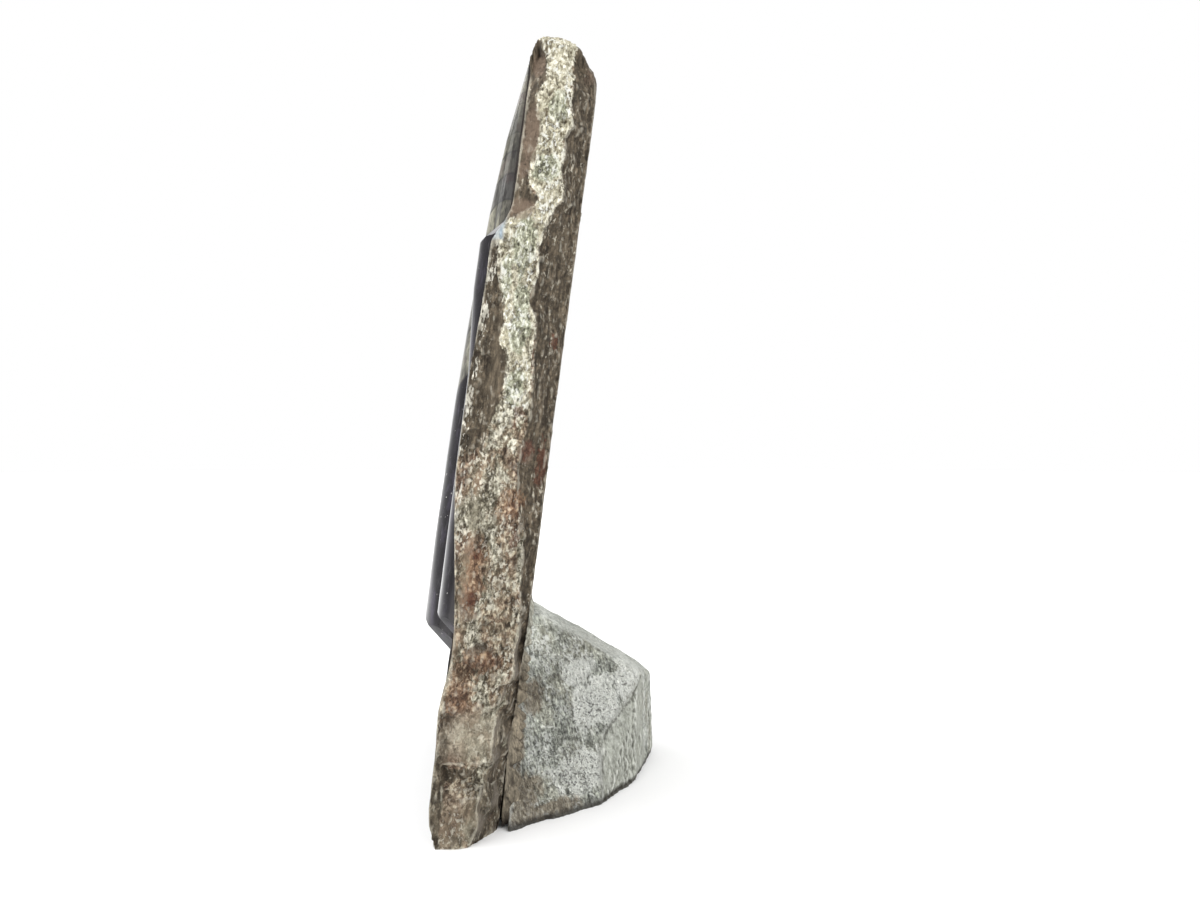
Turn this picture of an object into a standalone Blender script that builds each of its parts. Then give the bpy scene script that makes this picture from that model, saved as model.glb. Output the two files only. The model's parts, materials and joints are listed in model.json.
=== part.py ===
"""Orthoceras fossil plaque that stands on its own stone foot.

A slab of dark limestone leans back a few degrees. Its front is cut down round four orthoceras
fossils, which stand in polished relief, and its edges are broken rough. A wedge of grey stone
is bedded in mortar against its back, and both are cut flat where they stand.

Metres, +Z up. X runs across the plaque, the fossils face -Y, and the origin is on the ground
under the middle of the whole piece.
"""

import math
from collections import namedtuple

import bmesh
import bpy
from mathutils import Vector, noise

MM = 0.001

# Slab: overall size, how far it leans back and where its front face meets the ground
HEIGHT = 284 * MM
WIDTH = 153 * MM
THICKNESS = 23.2 * MM
LEAN = math.radians(7.6)
FRONT_AT_GROUND = -44.5 * MM
BACK_AT_GROUND = FRONT_AT_GROUND + THICKNESS / math.cos(LEAN)

# Room left between two pieces that touch
GAP = 0.3 * MM

# Outline of the slab seen from the front: across in half widths, up in heights.
# It starts below the ground at the left and runs anticlockwise, so +X, the
# edge with the fossil along it, comes first.
OUTLINE = (
    (-0.30, -0.14), (0.45, -0.14), (0.94, -0.13), (0.975, 0.08), (0.995, 0.25), (1.0, 0.45),
    (1.0, 0.62), (0.99, 0.74), (0.98, 0.84), (0.955, 0.89), (0.87, 0.935), (0.70, 0.972),
    (0.48, 0.988), (0.22, 0.994), (0.02, 0.978), (-0.14, 0.984), (-0.36, 0.95), (-0.55, 0.885),
    (-0.72, 0.845), (-0.86, 0.745), (-0.90, 0.63), (-0.985, 0.52), (-0.975, 0.40), (-1.008, 0.27),
    (-0.955, 0.15), (-0.97, 0.06), (-0.93, -0.13),
)
MIDDLE_UP = 0.48
NEAR_EDGE_STEP = 5.2 * MM
FAR_EDGE_STEP = 8.5 * MM
NEAR_EDGE_FROM = 0.6

# Broken stone is made of lumps of two sizes: the fine ones as a share of the broad ones
FINE_LUMP = 0.45

# Rows of the broken edge, from the front arris (0) to the back arris (1), and the ridge between
# its two slopes, which wavers along the edge
EDGE_ROWS = (0.0, 0.10, 0.22, 0.36, 0.50, 0.64, 0.79, 0.90, 1.0)
RIDGE = 0.48
RIDGE_WAVER = 0.10
RIDGE_WAVES = (9, 38)

# How far the front arris is set in, by height above the ground, and the row it reaches to
FRONT_BEVEL = ((0, 0.8 * MM), (245 * MM, 0.8 * MM), (270 * MM, 6.5 * MM))
FRONT_BEVEL_ROW = 0.2
EDGE_ROUGHNESS = 1.6 * MM
EDGE_LUMP = 11 * MM
EDGE_SET_IN = 0.4
ARRIS_ROUGHNESS = 0.35

# How far the back arris is set in behind the ridge, by height above the ground, what share of
# that the other edges have, and how hollow the slope is
BACK_BEVEL = (
    (0, 15 * MM), (22 * MM, 14 * MM), (55 * MM, 7 * MM), (80 * MM, 3 * MM), (105 * MM, 5 * MM),
    (140 * MM, 8.5 * MM), (210 * MM, 9.5 * MM), (250 * MM, 8 * MM), (284 * MM, 10 * MM),
)
FAR_BEVEL_SHARE = 0.7
BACK_BEVEL_CURVE = 1.15

# Raised rim of rock along the near edge, beside the edge fossil and below it, by height
RIM = (
    (10 * MM, 0.8 * MM), (24 * MM, 1.2 * MM), (34 * MM, 1.2 * MM), (43 * MM, 2.3 * MM),
    (52 * MM, 1.4 * MM), (60 * MM, 0.3 * MM), (68 * MM, 0.2 * MM),
    (82 * MM, 1.7 * MM), (95 * MM, 3.6 * MM), (108 * MM, 5.2 * MM),
    (122 * MM, 6.8 * MM), (156 * MM, 6.6 * MM), (176 * MM, 5.6 * MM), (199 * MM, 5.4 * MM),
    (210 * MM, 0),
)
RIM_INNER = 66 * MM
RIM_OUTER = 71 * MM

# Shallow hollow low on the far side of the front, and the chipped lower arris, with the
# heights between which each fades
FAR_HOLLOW = 1.6 * MM
FAR_HOLLOW_FADE = (60 * MM, 110 * MM)
CHIPPED_FOOT = 4 * MM
CHIPPED_FADE = (-2 * MM, 11 * MM)

# Ledge, scoop and notch in the foot of the near edge: height, half span, depth
EDGE_HOLLOWS = (
    (23 * MM, 4 * MM, 3.2 * MM),
    (36 * MM, 10 * MM, 2.0 * MM),
    (62 * MM, 6 * MM, 1.2 * MM),
)
HOLLOW_FULL_ROW = 0.15

# Rings that carry the outline in to the middle of the front and the back face
FRONT_RINGS = (0.955, 0.88, 0.74, 0.56, 0.36, 0.16)
BACK_RINGS = (0.93, 0.76, 0.50, 0.20)
FRONT_ROUGHNESS = 0.35 * MM
FRONT_LUMP = 14 * MM
BACK_ROUGHNESS = 0.5 * MM
BACK_LUMP = 22 * MM
BACK_FLAT_TO = 95 * MM
BACK_ROUGH_FROM = 120 * MM

# Fossils, in the plane of the slab's front: where the axis starts and ends (across, up),
# half widths there, and the height of the crest above the slab at fractions of the length.
Fossil = namedtuple("Fossil", "name start end start_half end_half crest")
FOSSILS = (
    Fossil("orthoceras_long", (17 * MM, 280 * MM), (3 * MM, 54 * MM), 1.6 * MM, 18 * MM,
           ((0, 0.6 * MM), (0.13, 5.0 * MM), (0.26, 7.8 * MM), (0.41, 9.9 * MM),
            (0.58, 11.4 * MM), (0.82, 12.2 * MM), (1, 11.9 * MM))),
    Fossil("orthoceras_edge", (64.6 * MM, 206 * MM), (61.4 * MM, 69.5 * MM), 7.6 * MM, 11.4 * MM,
           ((0, 9.3 * MM), (0.18, 9.4 * MM), (0.38, 7.4 * MM), (1, 6.9 * MM))),
    Fossil("orthoceras_left", (-54 * MM, 228 * MM), (-36 * MM, 70 * MM), 1.2 * MM, 13 * MM,
           ((0, 0.6 * MM), (0.15, 3 * MM), (0.4, 6 * MM), (0.7, 7.6 * MM), (1, 8 * MM))),
    Fossil("orthoceras_small", (-59 * MM, 150 * MM), (-64.5 * MM, 76 * MM), 0.9 * MM, 7.4 * MM,
           ((0, 0.5 * MM), (0.25, 2.4 * MM), (0.6, 4.2 * MM), (1, 4.8 * MM))),
)
SEAT_DEPTH = 3 * MM
POCKET_TOP = 9 * MM

# Round section of a fossil, and the slanting cut at its end, which narrows and drops to a
# low step. A fossil that starts wide has such a cut there too.
CROSS_STEPS = 10
CROSS_SQUARENESS = 2.4
FOSSIL_STEP = 7.5 * MM
TIP_STEP = 3 * MM
WIDE_START = 4 * MM
END_ROUNDING = 13 * MM
END_STEPS = (0.0, 0.08, 0.22, 0.46, 0.72)
END_NARROWING = 0.42
END_CUT_SLOPE = 1.0
END_CREST = 0.5 * MM

# Foot: flat facets of a sawn and broken wedge. Each is a point, given across, behind the
# slab's back at the ground and up, and the way it faces. It is worked out of a larger block.
BED = 3.3 * MM
FOOT_BLOCK = 200 * MM
FOOT_SPARE = 4 * MM
FOOT_FACETS = (
    ((0, 34.4, 55.4), (0, 0.53, 0.85)),
    ((51, 22.9, 0), (0.774, 0.443, 0.453)),
    ((31, 45.9, 0), (0.587, 0.808, 0.05)),
    ((3, 60.6, 0), (0.353, 0.936, 0.02)),
    ((-20, 68.6, 0), (-0.25, 0.97, 0.04)),
    ((-46, 52.4, 0), (-0.78, 0.62, 0.12)),
    ((-57, 22.4, 0), (-0.86, 0.13, 0.48)),
    ((0, 63.9, 37.6), (0.10, 0.80, 0.60)),
)
FOOT_BEVEL = 1.4 * MM
FOOT_FACE_SIZE = 12 * MM
FOOT_DIVISIONS = 5
FOOT_ROUGHNESS = 0.55 * MM
FOOT_LUMP = 13 * MM
FLAT_ANGLE = 0.01

# Mortar: how far it spreads past the foot, at each distance behind the slab
MORTAR_SPREAD = (
    (0.3 * MM, 4.6 * MM), (1.4 * MM, 4.4 * MM), (3.2 * MM, 3.0 * MM), (5.2 * MM, 1.2 * MM),
    (6.6 * MM, -1.6 * MM),
)
MORTAR_OUTLINE = (
    (-56, 14), (-20, 13), (25, 14), (56, 14), (54, 22), (46, 35), (36, 52), (25, 68), (18, 75),
    (2, 77), (-14, 75), (-22, 67), (-34, 50), (-45, 32), (-54, 17),
)
MORTAR_STEP = 7 * MM
MORTAR_WAVER = 0.8 * MM
MORTAR_LUMP = 12 * MM
BELOW_GROUND = 10 * MM


def clear_scene():
    for thing in list(bpy.data.objects):
        bpy.data.objects.remove(thing, do_unlink=True)


def make_material(name, colour, roughness, metallic=0.0):
    material = bpy.data.materials.new(name)
    material.use_nodes = True
    shader = material.node_tree.nodes["Principled BSDF"]
    shader.inputs["Base Color"].default_value = (*colour, 1.0)
    shader.inputs["Roughness"].default_value = roughness
    shader.inputs["Metallic"].default_value = metallic
    material.diffuse_color = (*colour, 1.0)
    return material


def make_object(name, bm, material):
    bmesh.ops.recalc_face_normals(bm, faces=bm.faces)
    mesh = bpy.data.meshes.new(name)
    bm.to_mesh(mesh)
    bm.free()
    thing = bpy.data.objects.new(name, mesh)
    bpy.context.scene.collection.objects.link(thing)
    thing.data.materials.append(material)
    return thing


def make_cutter(name, bm):
    cutter = make_object(name, bm, make_material(name, (0.8, 0.2, 0.2), 0.5))
    cutter.hide_render = True
    cutter.display_type = "WIRE"
    return cutter


def cut(target, cutter):
    modifier = target.modifiers.new(cutter.name, "BOOLEAN")
    modifier.operation = "DIFFERENCE"
    modifier.solver = "EXACT"
    modifier.object = cutter


def in_slab(across, up, out):
    """World place of a point given across, up and out of the slab's front face."""
    return Vector((
        across,
        FRONT_AT_GROUND + up * math.sin(LEAN) - out * math.cos(LEAN),
        up * math.cos(LEAN) + out * math.sin(LEAN),
    ))


def between(table, value):
    """Value read from pairs of place and value, straight between them."""
    if value <= table[0][0]:
        return table[0][1]
    for (low, start), (high, end) in zip(table, table[1:]):
        if value <= high:
            return start + (end - start) * (value - low) / (high - low)
    return table[-1][1]


def smooth(low, high, value):
    t = min(max((value - low) / (high - low), 0.0), 1.0)
    return t * t * (3 - 2 * t)


def roughness(point, size):
    """Broken stone: two sizes of lump, between about -1 and 1."""
    broad = noise.noise(point / size)
    fine = noise.noise(point / (size * FINE_LUMP) + Vector((5.2, 1.3, 8.1)))
    return 0.75 * broad + 0.45 * fine


def smooth_outline(points, steps):
    """Closed smooth curve through the points; steps(point) is the spacing wanted there."""
    curve = []
    count = len(points)
    for i in range(count):
        before, start, end, after = (Vector(points[(i + k) % count]) for k in (-1, 0, 1, 2))
        pieces = max(1, round((end - start).length / steps((start + end) / 2)))
        for k in range(pieces):
            t = k / pieces
            spot = 0.5 * (2 * start + (end - before) * t
                          + (2 * before - 5 * start + 4 * end - after) * t * t
                          + (3 * start - before - 3 * end + after) * t * t * t)
            curve.append(spot)
    return curve


def outward(curve):
    """Unit normals of an anticlockwise outline."""
    normals = []
    for i, _ in enumerate(curve):
        along = curve[(i + 1) % len(curve)] - curve[i - 1]
        normals.append(Vector((along.y, -along.x)).normalized())
    return normals


def loft(bm, rings):
    """Skin closed rings of places, in order, and close both ends."""
    loops = [[bm.verts.new(place) for place in ring] for ring in rings]
    count = len(loops[0])
    for low, high in zip(loops, loops[1:]):
        for i in range(count):
            j = (i + 1) % count
            bm.faces.new((low[i], low[j], high[j], high[i]))
    first = bm.faces.new(tuple(reversed(loops[0])))
    last = bm.faces.new(loops[-1])
    bmesh.ops.triangulate(bm, faces=[first, last])


def cut_flat(bm, point, facing):
    """Cut away what lies past a plane and close the cut."""
    everything = bm.verts[:] + bm.edges[:] + bm.faces[:]
    result = bmesh.ops.bisect_plane(bm, geom=everything, dist=1e-7, plane_co=point,
                                    plane_no=facing, clear_outer=True)
    rim = [item for item in result["geom_cut"] if isinstance(item, bmesh.types.BMEdge)]
    filled = bmesh.ops.edgenet_fill(bm, edges=rim)
    bmesh.ops.poke(bm, faces=filled["faces"])


def edge_inset(across, height, row):
    """How far the broken edge is set in from the outline at one row."""
    waver = noise.noise(Vector((across * RIDGE_WAVES[0], height * RIDGE_WAVES[1], 2.0)))
    ridge = RIDGE + RIDGE_WAVER * waver
    if row < ridge:
        inset = between(FRONT_BEVEL, height) * max(1 - row / FRONT_BEVEL_ROW, 0.0)
    else:
        share = 1.0 if across > 0 else FAR_BEVEL_SHARE
        slope = ((row - ridge) / (1 - ridge)) ** BACK_BEVEL_CURVE
        inset = between(BACK_BEVEL, height) * share * slope
    if across > 0:
        for middle, half_span, depth in EDGE_HOLLOWS:
            away = min(abs(height - middle) / half_span, 1.0)
            inset += depth * (1 - away * away) * smooth(0.0, HOLLOW_FULL_ROW, row)
    return inset


def front_height(across, height):
    """Raised rim of the near edge, shallow hollow of the far side and the chipped foot."""
    rim = between(RIM, height) * smooth(RIM_INNER, RIM_OUTER, across)
    low = 1 - smooth(*FAR_HOLLOW_FADE, height)
    hollow = FAR_HOLLOW * smooth(0, WIDTH / 2, -across) * low
    chip = CHIPPED_FOOT * (1 - smooth(*CHIPPED_FADE, height))
    return rim - hollow - chip


def slab_mesh():
    half = WIDTH / 2
    length = HEIGHT / math.cos(LEAN)
    points = [(across * half, up * length) for across, up in OUTLINE]

    def spacing(point):
        return NEAR_EDGE_STEP if point.x > half * NEAR_EDGE_FROM else FAR_EDGE_STEP

    curve = smooth_outline(points, spacing)
    normals = outward(curve)
    middle = Vector((0, length * MIDDLE_UP))

    def front_ring(share):
        ring = []
        for spot in curve:
            place = middle + (spot - middle) * share
            out = front_height(place.x, place.y)
            out += FRONT_ROUGHNESS * roughness(Vector((place.x, place.y, 0.3)), FRONT_LUMP)
            ring.append(in_slab(place.x, place.y, out))
        return ring

    def back_ring(share):
        ring = []
        for spot, normal in zip(curve, normals):
            arris = spot - normal * edge_inset(spot.x, spot.y, 1.0)
            place = middle + (arris - middle) * share
            lump = abs(roughness(Vector((place.x, place.y, 0.7)), BACK_LUMP))
            lump *= BACK_ROUGHNESS * smooth(BACK_FLAT_TO, BACK_ROUGH_FROM, place.y)
            ring.append(in_slab(place.x, place.y, lump - THICKNESS))
        return ring

    def edge_ring(row):
        ring = []
        for spot, normal in zip(curve, normals):
            place = spot - normal * edge_inset(spot.x, spot.y, row)
            front = front_height(place.x, place.y)
            out = front - row * (THICKNESS + front)
            solid = Vector((place.x, place.y, out))
            share = ARRIS_ROUGHNESS if row in (0.0, 1.0) else 1.0
            lump = EDGE_SET_IN + roughness(solid, EDGE_LUMP)
            place -= normal * EDGE_ROUGHNESS * share * lump
            ring.append(in_slab(place.x, place.y, out))
        return ring

    rings = [front_ring(share) for share in reversed(FRONT_RINGS)]
    rings += [edge_ring(row) for row in EDGE_ROWS]
    rings += [back_ring(share) for share in BACK_RINGS]
    bm = bmesh.new()
    loft(bm, rings)
    cut_flat(bm, Vector((0, 0, 0)), Vector((0, 0, -1)))
    bmesh.ops.triangulate(bm, faces=bm.faces)
    return bm


def arch(half, crest):
    """Upper line of a fossil's section, from side to side."""
    line = []
    for k in range(CROSS_STEPS + 1):
        angle = math.pi * (1 - k / CROSS_STEPS)
        flat = math.copysign(abs(math.cos(angle)) ** (2 / CROSS_SQUARENESS), math.cos(angle))
        high = math.sin(angle) ** (2 / CROSS_SQUARENESS) if 0 < k < CROSS_STEPS else 0.0
        line.append((flat * half, high * crest))
    return line


def fossil_mesh(fossil, grow=0.0, walls_only=False):
    """Tapering shell, rounded across, with a slanting cut at its wide end.

    With walls_only the sides go straight up past the crest, for a pocket in level rock.
    """
    start = Vector(fossil.start)
    end = Vector(fossil.end)
    axis = (end - start).normalized()
    side = Vector((-axis.y, axis.x))
    length = (end - start).length
    blunt = fossil.start_half > WIDE_START
    places = [END_ROUNDING * share for share in END_STEPS] if blunt else [0.0, TIP_STEP]
    steps = round((length - 2 * END_ROUNDING) / FOSSIL_STEP)
    places += [END_ROUNDING + (length - 2 * END_ROUNDING) * k / steps for k in range(steps + 1)]
    places += [length - END_ROUNDING * share for share in reversed(END_STEPS)]

    rings = []
    for place in places:
        share = place / length
        half = fossil.start_half + (fossil.end_half - fossil.start_half) * share
        crest = between(fossil.crest, share)
        nearest = min(place, length - place) if blunt else length - place
        if nearest < END_ROUNDING:
            turn = 1 - nearest / END_ROUNDING
            half *= 1 - END_NARROWING * turn ** 4
        crest = min(crest, END_CREST + nearest * END_CUT_SLOPE)
        shift = 0.0
        if place == 0.0:
            shift = -grow
        if place == length:
            shift = grow
        middle = start + axis * (place + shift)
        wall = half + grow
        seat = -SEAT_DEPTH - grow
        over = [(-wall, POCKET_TOP), (wall, POCKET_TOP)] if walls_only else arch(wall, crest + grow)
        ring = [(-wall, seat), *over, (wall, seat)]
        rings.append([in_slab(*(middle + side * across), out) for across, out in ring])
    bm = bmesh.new()
    loft(bm, rings)
    bmesh.ops.triangulate(bm, faces=bm.faces)
    return bm


def bed_point(behind):
    """A point on the plane that lies this far behind the slab's back face."""
    return in_slab(0, 0, -THICKNESS - behind)


BACKWARDS = Vector((0, math.cos(LEAN), -math.sin(LEAN)))


def foot_facets(grow, front, bottom):
    """Closed solid between the facets, each moved out by grow."""
    bm = bmesh.new()
    bmesh.ops.create_cube(bm, size=FOOT_BLOCK)
    cut_flat(bm, bed_point(front), -BACKWARDS)
    cut_flat(bm, Vector((0, 0, bottom)), Vector((0, 0, -1)))
    for point, facing in FOOT_FACETS:
        away = Vector(facing).normalized()
        place = Vector(point) * MM + Vector((0, BACK_AT_GROUND, 0))
        cut_flat(bm, place + away * grow, away)
    bmesh.ops.dissolve_limit(bm, angle_limit=FLAT_ANGLE, verts=bm.verts, edges=bm.edges)
    return bm


def foot_mesh():
    bm = foot_facets(0.0, BED - FOOT_SPARE, -FOOT_SPARE)
    bmesh.ops.bevel(bm, geom=bm.edges[:], offset=FOOT_BEVEL, offset_type="OFFSET", segments=2,
                    profile=0.5, affect="EDGES", clamp_overlap=True)
    bmesh.ops.triangulate(bm, faces=bm.faces)
    for _ in range(FOOT_DIVISIONS):
        long_edges = [edge for edge in bm.edges if edge.calc_length() > FOOT_FACE_SIZE]
        if not long_edges:
            break
        bmesh.ops.subdivide_edges(bm, edges=long_edges, cuts=1)
        bmesh.ops.triangulate(bm, faces=bm.faces)
        flat = [edge for edge in bm.edges if edge.calc_face_angle(0.0) < FLAT_ANGLE]
        bmesh.ops.beautify_fill(bm, faces=bm.faces, edges=flat)
    bm.normal_update()
    moves = []
    for vert in bm.verts:
        moves.append(vert.normal * FOOT_ROUGHNESS * roughness(vert.co, FOOT_LUMP))
    for vert, move in zip(bm.verts, moves):
        vert.co += move
    cut_flat(bm, bed_point(BED), -BACKWARDS)
    cut_flat(bm, Vector((0, 0, 0)), Vector((0, 0, -1)))
    bmesh.ops.triangulate(bm, faces=bm.faces)
    return bm


def mortar_mesh():
    """Bed between slab and foot, with the bead that was squeezed out round the foot."""
    points = [(across * MM, up * MM) for across, up in MORTAR_OUTLINE]
    curve = smooth_outline(points, lambda point: MORTAR_STEP)
    normals = outward(curve)
    rings = []
    for behind, spread in MORTAR_SPREAD:
        ring = []
        for spot, normal in zip(curve, normals):
            waver = MORTAR_WAVER * roughness(Vector((spot.x, spot.y, behind)), MORTAR_LUMP)
            place = spot + normal * (spread + waver)
            ring.append(in_slab(place.x, place.y, -THICKNESS - behind))
        rings.append(ring)
    bm = bmesh.new()
    loft(bm, rings)
    bmesh.ops.triangulate(bm, faces=bm.faces)
    return bm


def build_slab():
    slab = make_object("slab", slab_mesh(), make_material("limestone", (0.17, 0.14, 0.12), 0.85))
    polish = make_material("polished_fossil", (0.09, 0.09, 0.10), 0.12)
    for fossil in FOSSILS:
        make_object(fossil.name, fossil_mesh(fossil), polish)
        beside_rim = fossil.start[0] + fossil.start_half > RIM_OUTER
        pocket = fossil_mesh(fossil, GAP, walls_only=not beside_rim)
        cut(slab, make_cutter(fossil.name + "_pocket", pocket))


def build_foot():
    make_object("foot", foot_mesh(), make_material("grey_stone", (0.33, 0.34, 0.31), 0.8))
    mortar = make_object("mortar", mortar_mesh(), make_material("mortar", (0.28, 0.24, 0.2), 0.9))
    clearance = foot_facets(GAP + FOOT_ROUGHNESS, BED - GAP, -BELOW_GROUND)
    cut(mortar, make_cutter("foot_clearance", clearance))


def main():
    clear_scene()
    build_slab()
    build_foot()


main()
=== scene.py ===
"""Orthoceras fossil plaque: a leaning slab of dark limestone on its own stone foot.

The solids of the frame give every piece its place and size. Each is worked over here as a
stone carver would: the broken edges get their lumps, ledges and crystals, the fossils their
polished, chambered shells, and the foot its sawn and broken faces.
"""

import json
import math

import bmesh
import bpy
import numpy as np
from bpy.props import FloatProperty, FloatVectorProperty, PointerProperty
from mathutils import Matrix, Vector
from mathutils.kdtree import KDTree

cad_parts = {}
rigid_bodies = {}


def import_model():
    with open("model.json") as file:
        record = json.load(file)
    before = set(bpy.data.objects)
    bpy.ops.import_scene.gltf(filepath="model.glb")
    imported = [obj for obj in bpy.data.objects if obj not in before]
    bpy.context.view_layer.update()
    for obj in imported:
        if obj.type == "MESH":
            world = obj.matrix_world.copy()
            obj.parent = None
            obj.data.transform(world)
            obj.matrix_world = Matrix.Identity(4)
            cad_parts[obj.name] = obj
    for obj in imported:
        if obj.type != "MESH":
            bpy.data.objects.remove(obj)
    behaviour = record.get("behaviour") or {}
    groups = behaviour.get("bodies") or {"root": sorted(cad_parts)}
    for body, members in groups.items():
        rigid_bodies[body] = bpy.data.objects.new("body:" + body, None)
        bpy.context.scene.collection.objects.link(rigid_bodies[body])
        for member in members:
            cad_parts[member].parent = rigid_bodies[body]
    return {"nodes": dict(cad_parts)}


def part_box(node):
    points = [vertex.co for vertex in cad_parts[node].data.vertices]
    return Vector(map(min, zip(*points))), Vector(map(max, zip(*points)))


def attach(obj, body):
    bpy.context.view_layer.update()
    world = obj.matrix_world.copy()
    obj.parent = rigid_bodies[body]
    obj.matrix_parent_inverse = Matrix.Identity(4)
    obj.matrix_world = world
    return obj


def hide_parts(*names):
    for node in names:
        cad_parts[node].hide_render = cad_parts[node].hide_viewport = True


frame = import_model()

bl_info = {
    "name": "Orthoceras Plaque",
    "version": (1, 0, 0),
    "blender": (4, 5, 0),
    "location": "3D View > Sidebar > Plaque",
    "description": "Works over a standing plaque of dark limestone with polished fossils",
    "category": "Object",
}

MM = 0.001

# Where the camera stands, and the way it looks, level
CAMERA_PLACE = (0.3940, -0.0317, 0.1294)
CAMERA_YAW = math.radians(82.2)

# The near edge's plane, that heights in the tables are read on
NEAR_PLANE = 0.076

# The slab in its frame: how far it leans, where its front meets the ground, how thick it is
LEAN = math.radians(7.6)
FRONT_AT_GROUND = -44.5 * MM
THICKNESS = 23.2 * MM

# Near edge of the slab: where the rock reaches to, by height (mm)
EDGE_LINE = ((0, 73.9), (25, 75.0), (70, 76.0), (130, 76.4), (180, 76.4), (212, 75.6), (240, 74.8))

# Pale vein in the near edge: height, then the depth behind the front where it starts and ends
PALE_VEIN = (
    (68, 0.0, 20.7), (88, 1.0, 18.6), (103, 1.5, 17.4), (113, 1.8, 14.3), (124, 1.6, 12.5),
    (135, 1.6, 13.9), (144, 4.1, 14.3), (154, 5.2, 13.7), (161, 4.4, 13.1), (165, 1.3, 12.8),
    (171, 2.6, 12.4), (174, 1.7, 11.1), (177, 1.3, 9.1), (185, -1.2, 10.5), (191, -2.2, 10.9),
    (195, -2.7, 9.9), (201, -2.9, 11.2), (205, 0.0, 13.0), (208, 5.2, 12.6), (211, 8.9, 15.9),
    (215, 4.7, 15.8), (221, 3.5, 14.1), (226, 4.6, 14.4), (232, 5.8, 13.6), (236, 5.7, 16.3),
    (240, 3.9, 14.5), (246, 3.1, 14.5), (252, 5.9, 14.1), (262, 4.6, 14.0), (272, 1.0, 16.0),
)

# How far the rock drops at the vein's rear border (mm)
VEIN_STEP = 0.9

# Where the near edge turns back into its rear slope: below the vein, then at its far side
RIDGE = ((0, 14.0), (18, 15.5), (40, 17.0), (58, 20.0)) + tuple(
    (row[0], row[2]) for row in PALE_VEIN)

# How clearly the vein shows, by height
VEIN_SHOWS = ((60, 0.1), (90, 0.16), (118, 0.28), (135, 0.52), (150, 0.85), (165, 1), (300, 1))

# Slope behind the vein: how far in the back arris is, by height
BACK_BEVEL = (
    (0, 15), (22, 14), (55, 7), (80, 3), (105, 5), (140, 8.5), (210, 9.5), (250, 8), (284, 10),
)

# Hollows across the foot of the near edge: height, half span, depth
EDGE_HOLLOWS = ((23.5, 4.2, 3.4), (36.5, 9.5, 2.4), (62, 6, 1.2))

# Raised rim that the rock keeps beside the near fossil: place up the slab, height
RIM = (
    (10, 0.8), (24, 1.2), (34, 1.2), (43, 2.3), (52, 1.4), (60, 0.3), (68, 0.2), (82, 1.7),
    (95, 3.6), (108, 5.2), (122, 6.8), (156, 6.6), (176, 5.6), (199, 5.4), (210, 0),
)

# Broken top of the near corner: depth behind the front, then the height as the camera sees it
# against the near edge
TOP_LINE = ((0, 257.0), (1.8, 263.4), (5, 263.6), (14.5, 262.8), (17.0, 259.6), (19.0, 256.0),
            (21.0, 253.0), (23.2, 249.0))

# Hub of the blade that sawed the back: across, behind and up the slab, from the frame's origin
SAW_HUB = (-0.30, 0.0, 0.42)

# Patches on the near edge: height, depth behind the front, half height, half width. The last
# one is the shade in the notch
PATCHES = {
    "rust": (
        (142, 10.7, 2.2, 1.9), (138, 10.0, 1.6, 1.4), (129, 14.9, 3.6, 2.4),
        (165, 19.5, 3.0, 1.4), (95.5, 3.8, 1.8, 1.3), (81, 3.6, 3.6, 1.8),
        (125, 20.5, 9.0, 2.0), (100, 15.0, 3.0, 2.0),
    ),
    "ochre": (
        (52, 4.0, 11.0, 5.0), (44, 8.0, 5.0, 4.0), (60, 11.0, 4.0, 5.0), (88, 4.0, 12.0, 3.4),
        (112, 12.0, 5.0, 5.0),
    ),
    "worn": ((36.5, 9.5, 8.5, 9.5),),
    "dirty": ((11, 9, 11, 14), (33, 0, 12, 2.0)),
    "russet": (
        (233, 2.8, 9.5, 2.6), (208, 3.0, 3.6, 4.5), (221, 2.0, 3.0, 2.0), (45, 4.0, 9.0, 3.0),
        (79.5, 2.6, 6, 2.4), (40, 1.6, 14, 2.2), (62, 8, 4, 5), (129, 15, 4, 3),
        (256, 20.0, 3.4, 2.0), (258, 2.6, 5.0, 2.2),
    ),
    "cool": (
        (242, 10.6, 5.5, 3.4), (221.5, 9.0, 4.5, 4.4), (196, 5.4, 10, 3.6), (184, 0.4, 8, 2.4),
        (178, 7.0, 6, 2.6), (168, 7.5, 7, 3.4), (150, 8.5, 6, 3.2), (108, 3.0, 14, 2.4),
    ),
    "smooth": (
        (233, 3.0, 11, 3.0), (209, 3.2, 4.6, 5.0), (255, 1.2, 14, 1.8), (36.5, 9.5, 8.5, 9.5),
        (8, 9, 8, 9), (100, 1.0, 40, 1.4), (158, 1.6, 20, 2.4), (222, 1.0, 12, 1.6),
    ),
}
NOTCH_SHADE = ((23.5, 6, 2.4, 8),)

# How much of the cooler tint the vein has away from the near edge
COOL_ELSEWHERE = 0.30

# Filler: how high above the ground it ends, the width of the columns in which it is let down
# to there, the size of its faces, how far past the foot it was smeared, and how thin it runs out
MORTAR_BOTTOM = 0.4 * MM
MORTAR_COLUMN = 4 * MM
MORTAR_GRID = 0.7 * MM
SMEAR_REACH = 5.5 * MM
SMEAR_END = 0.3

# Patches on the foot: height, depth behind the slab's back, half height, half width
FOOT_EARTH = ((39, 9.0, 6, 4), (8, 6, 9, 8), (22, 3, 14, 4), (3, 18, 3, 12))
FOOT_CHALK = ((33, 35, 9, 11), (39, 47, 6, 6), (12, 30, 7, 9), (45, 26, 5, 6))
FOOT_SPECKS = ((12, 27, 9, 10), (19, 20, 5, 7), (32, 34, 6, 9), (50, 24, 4, 6))
FOOT_SAWN = ((60, 10, 9, 9),)

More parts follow.
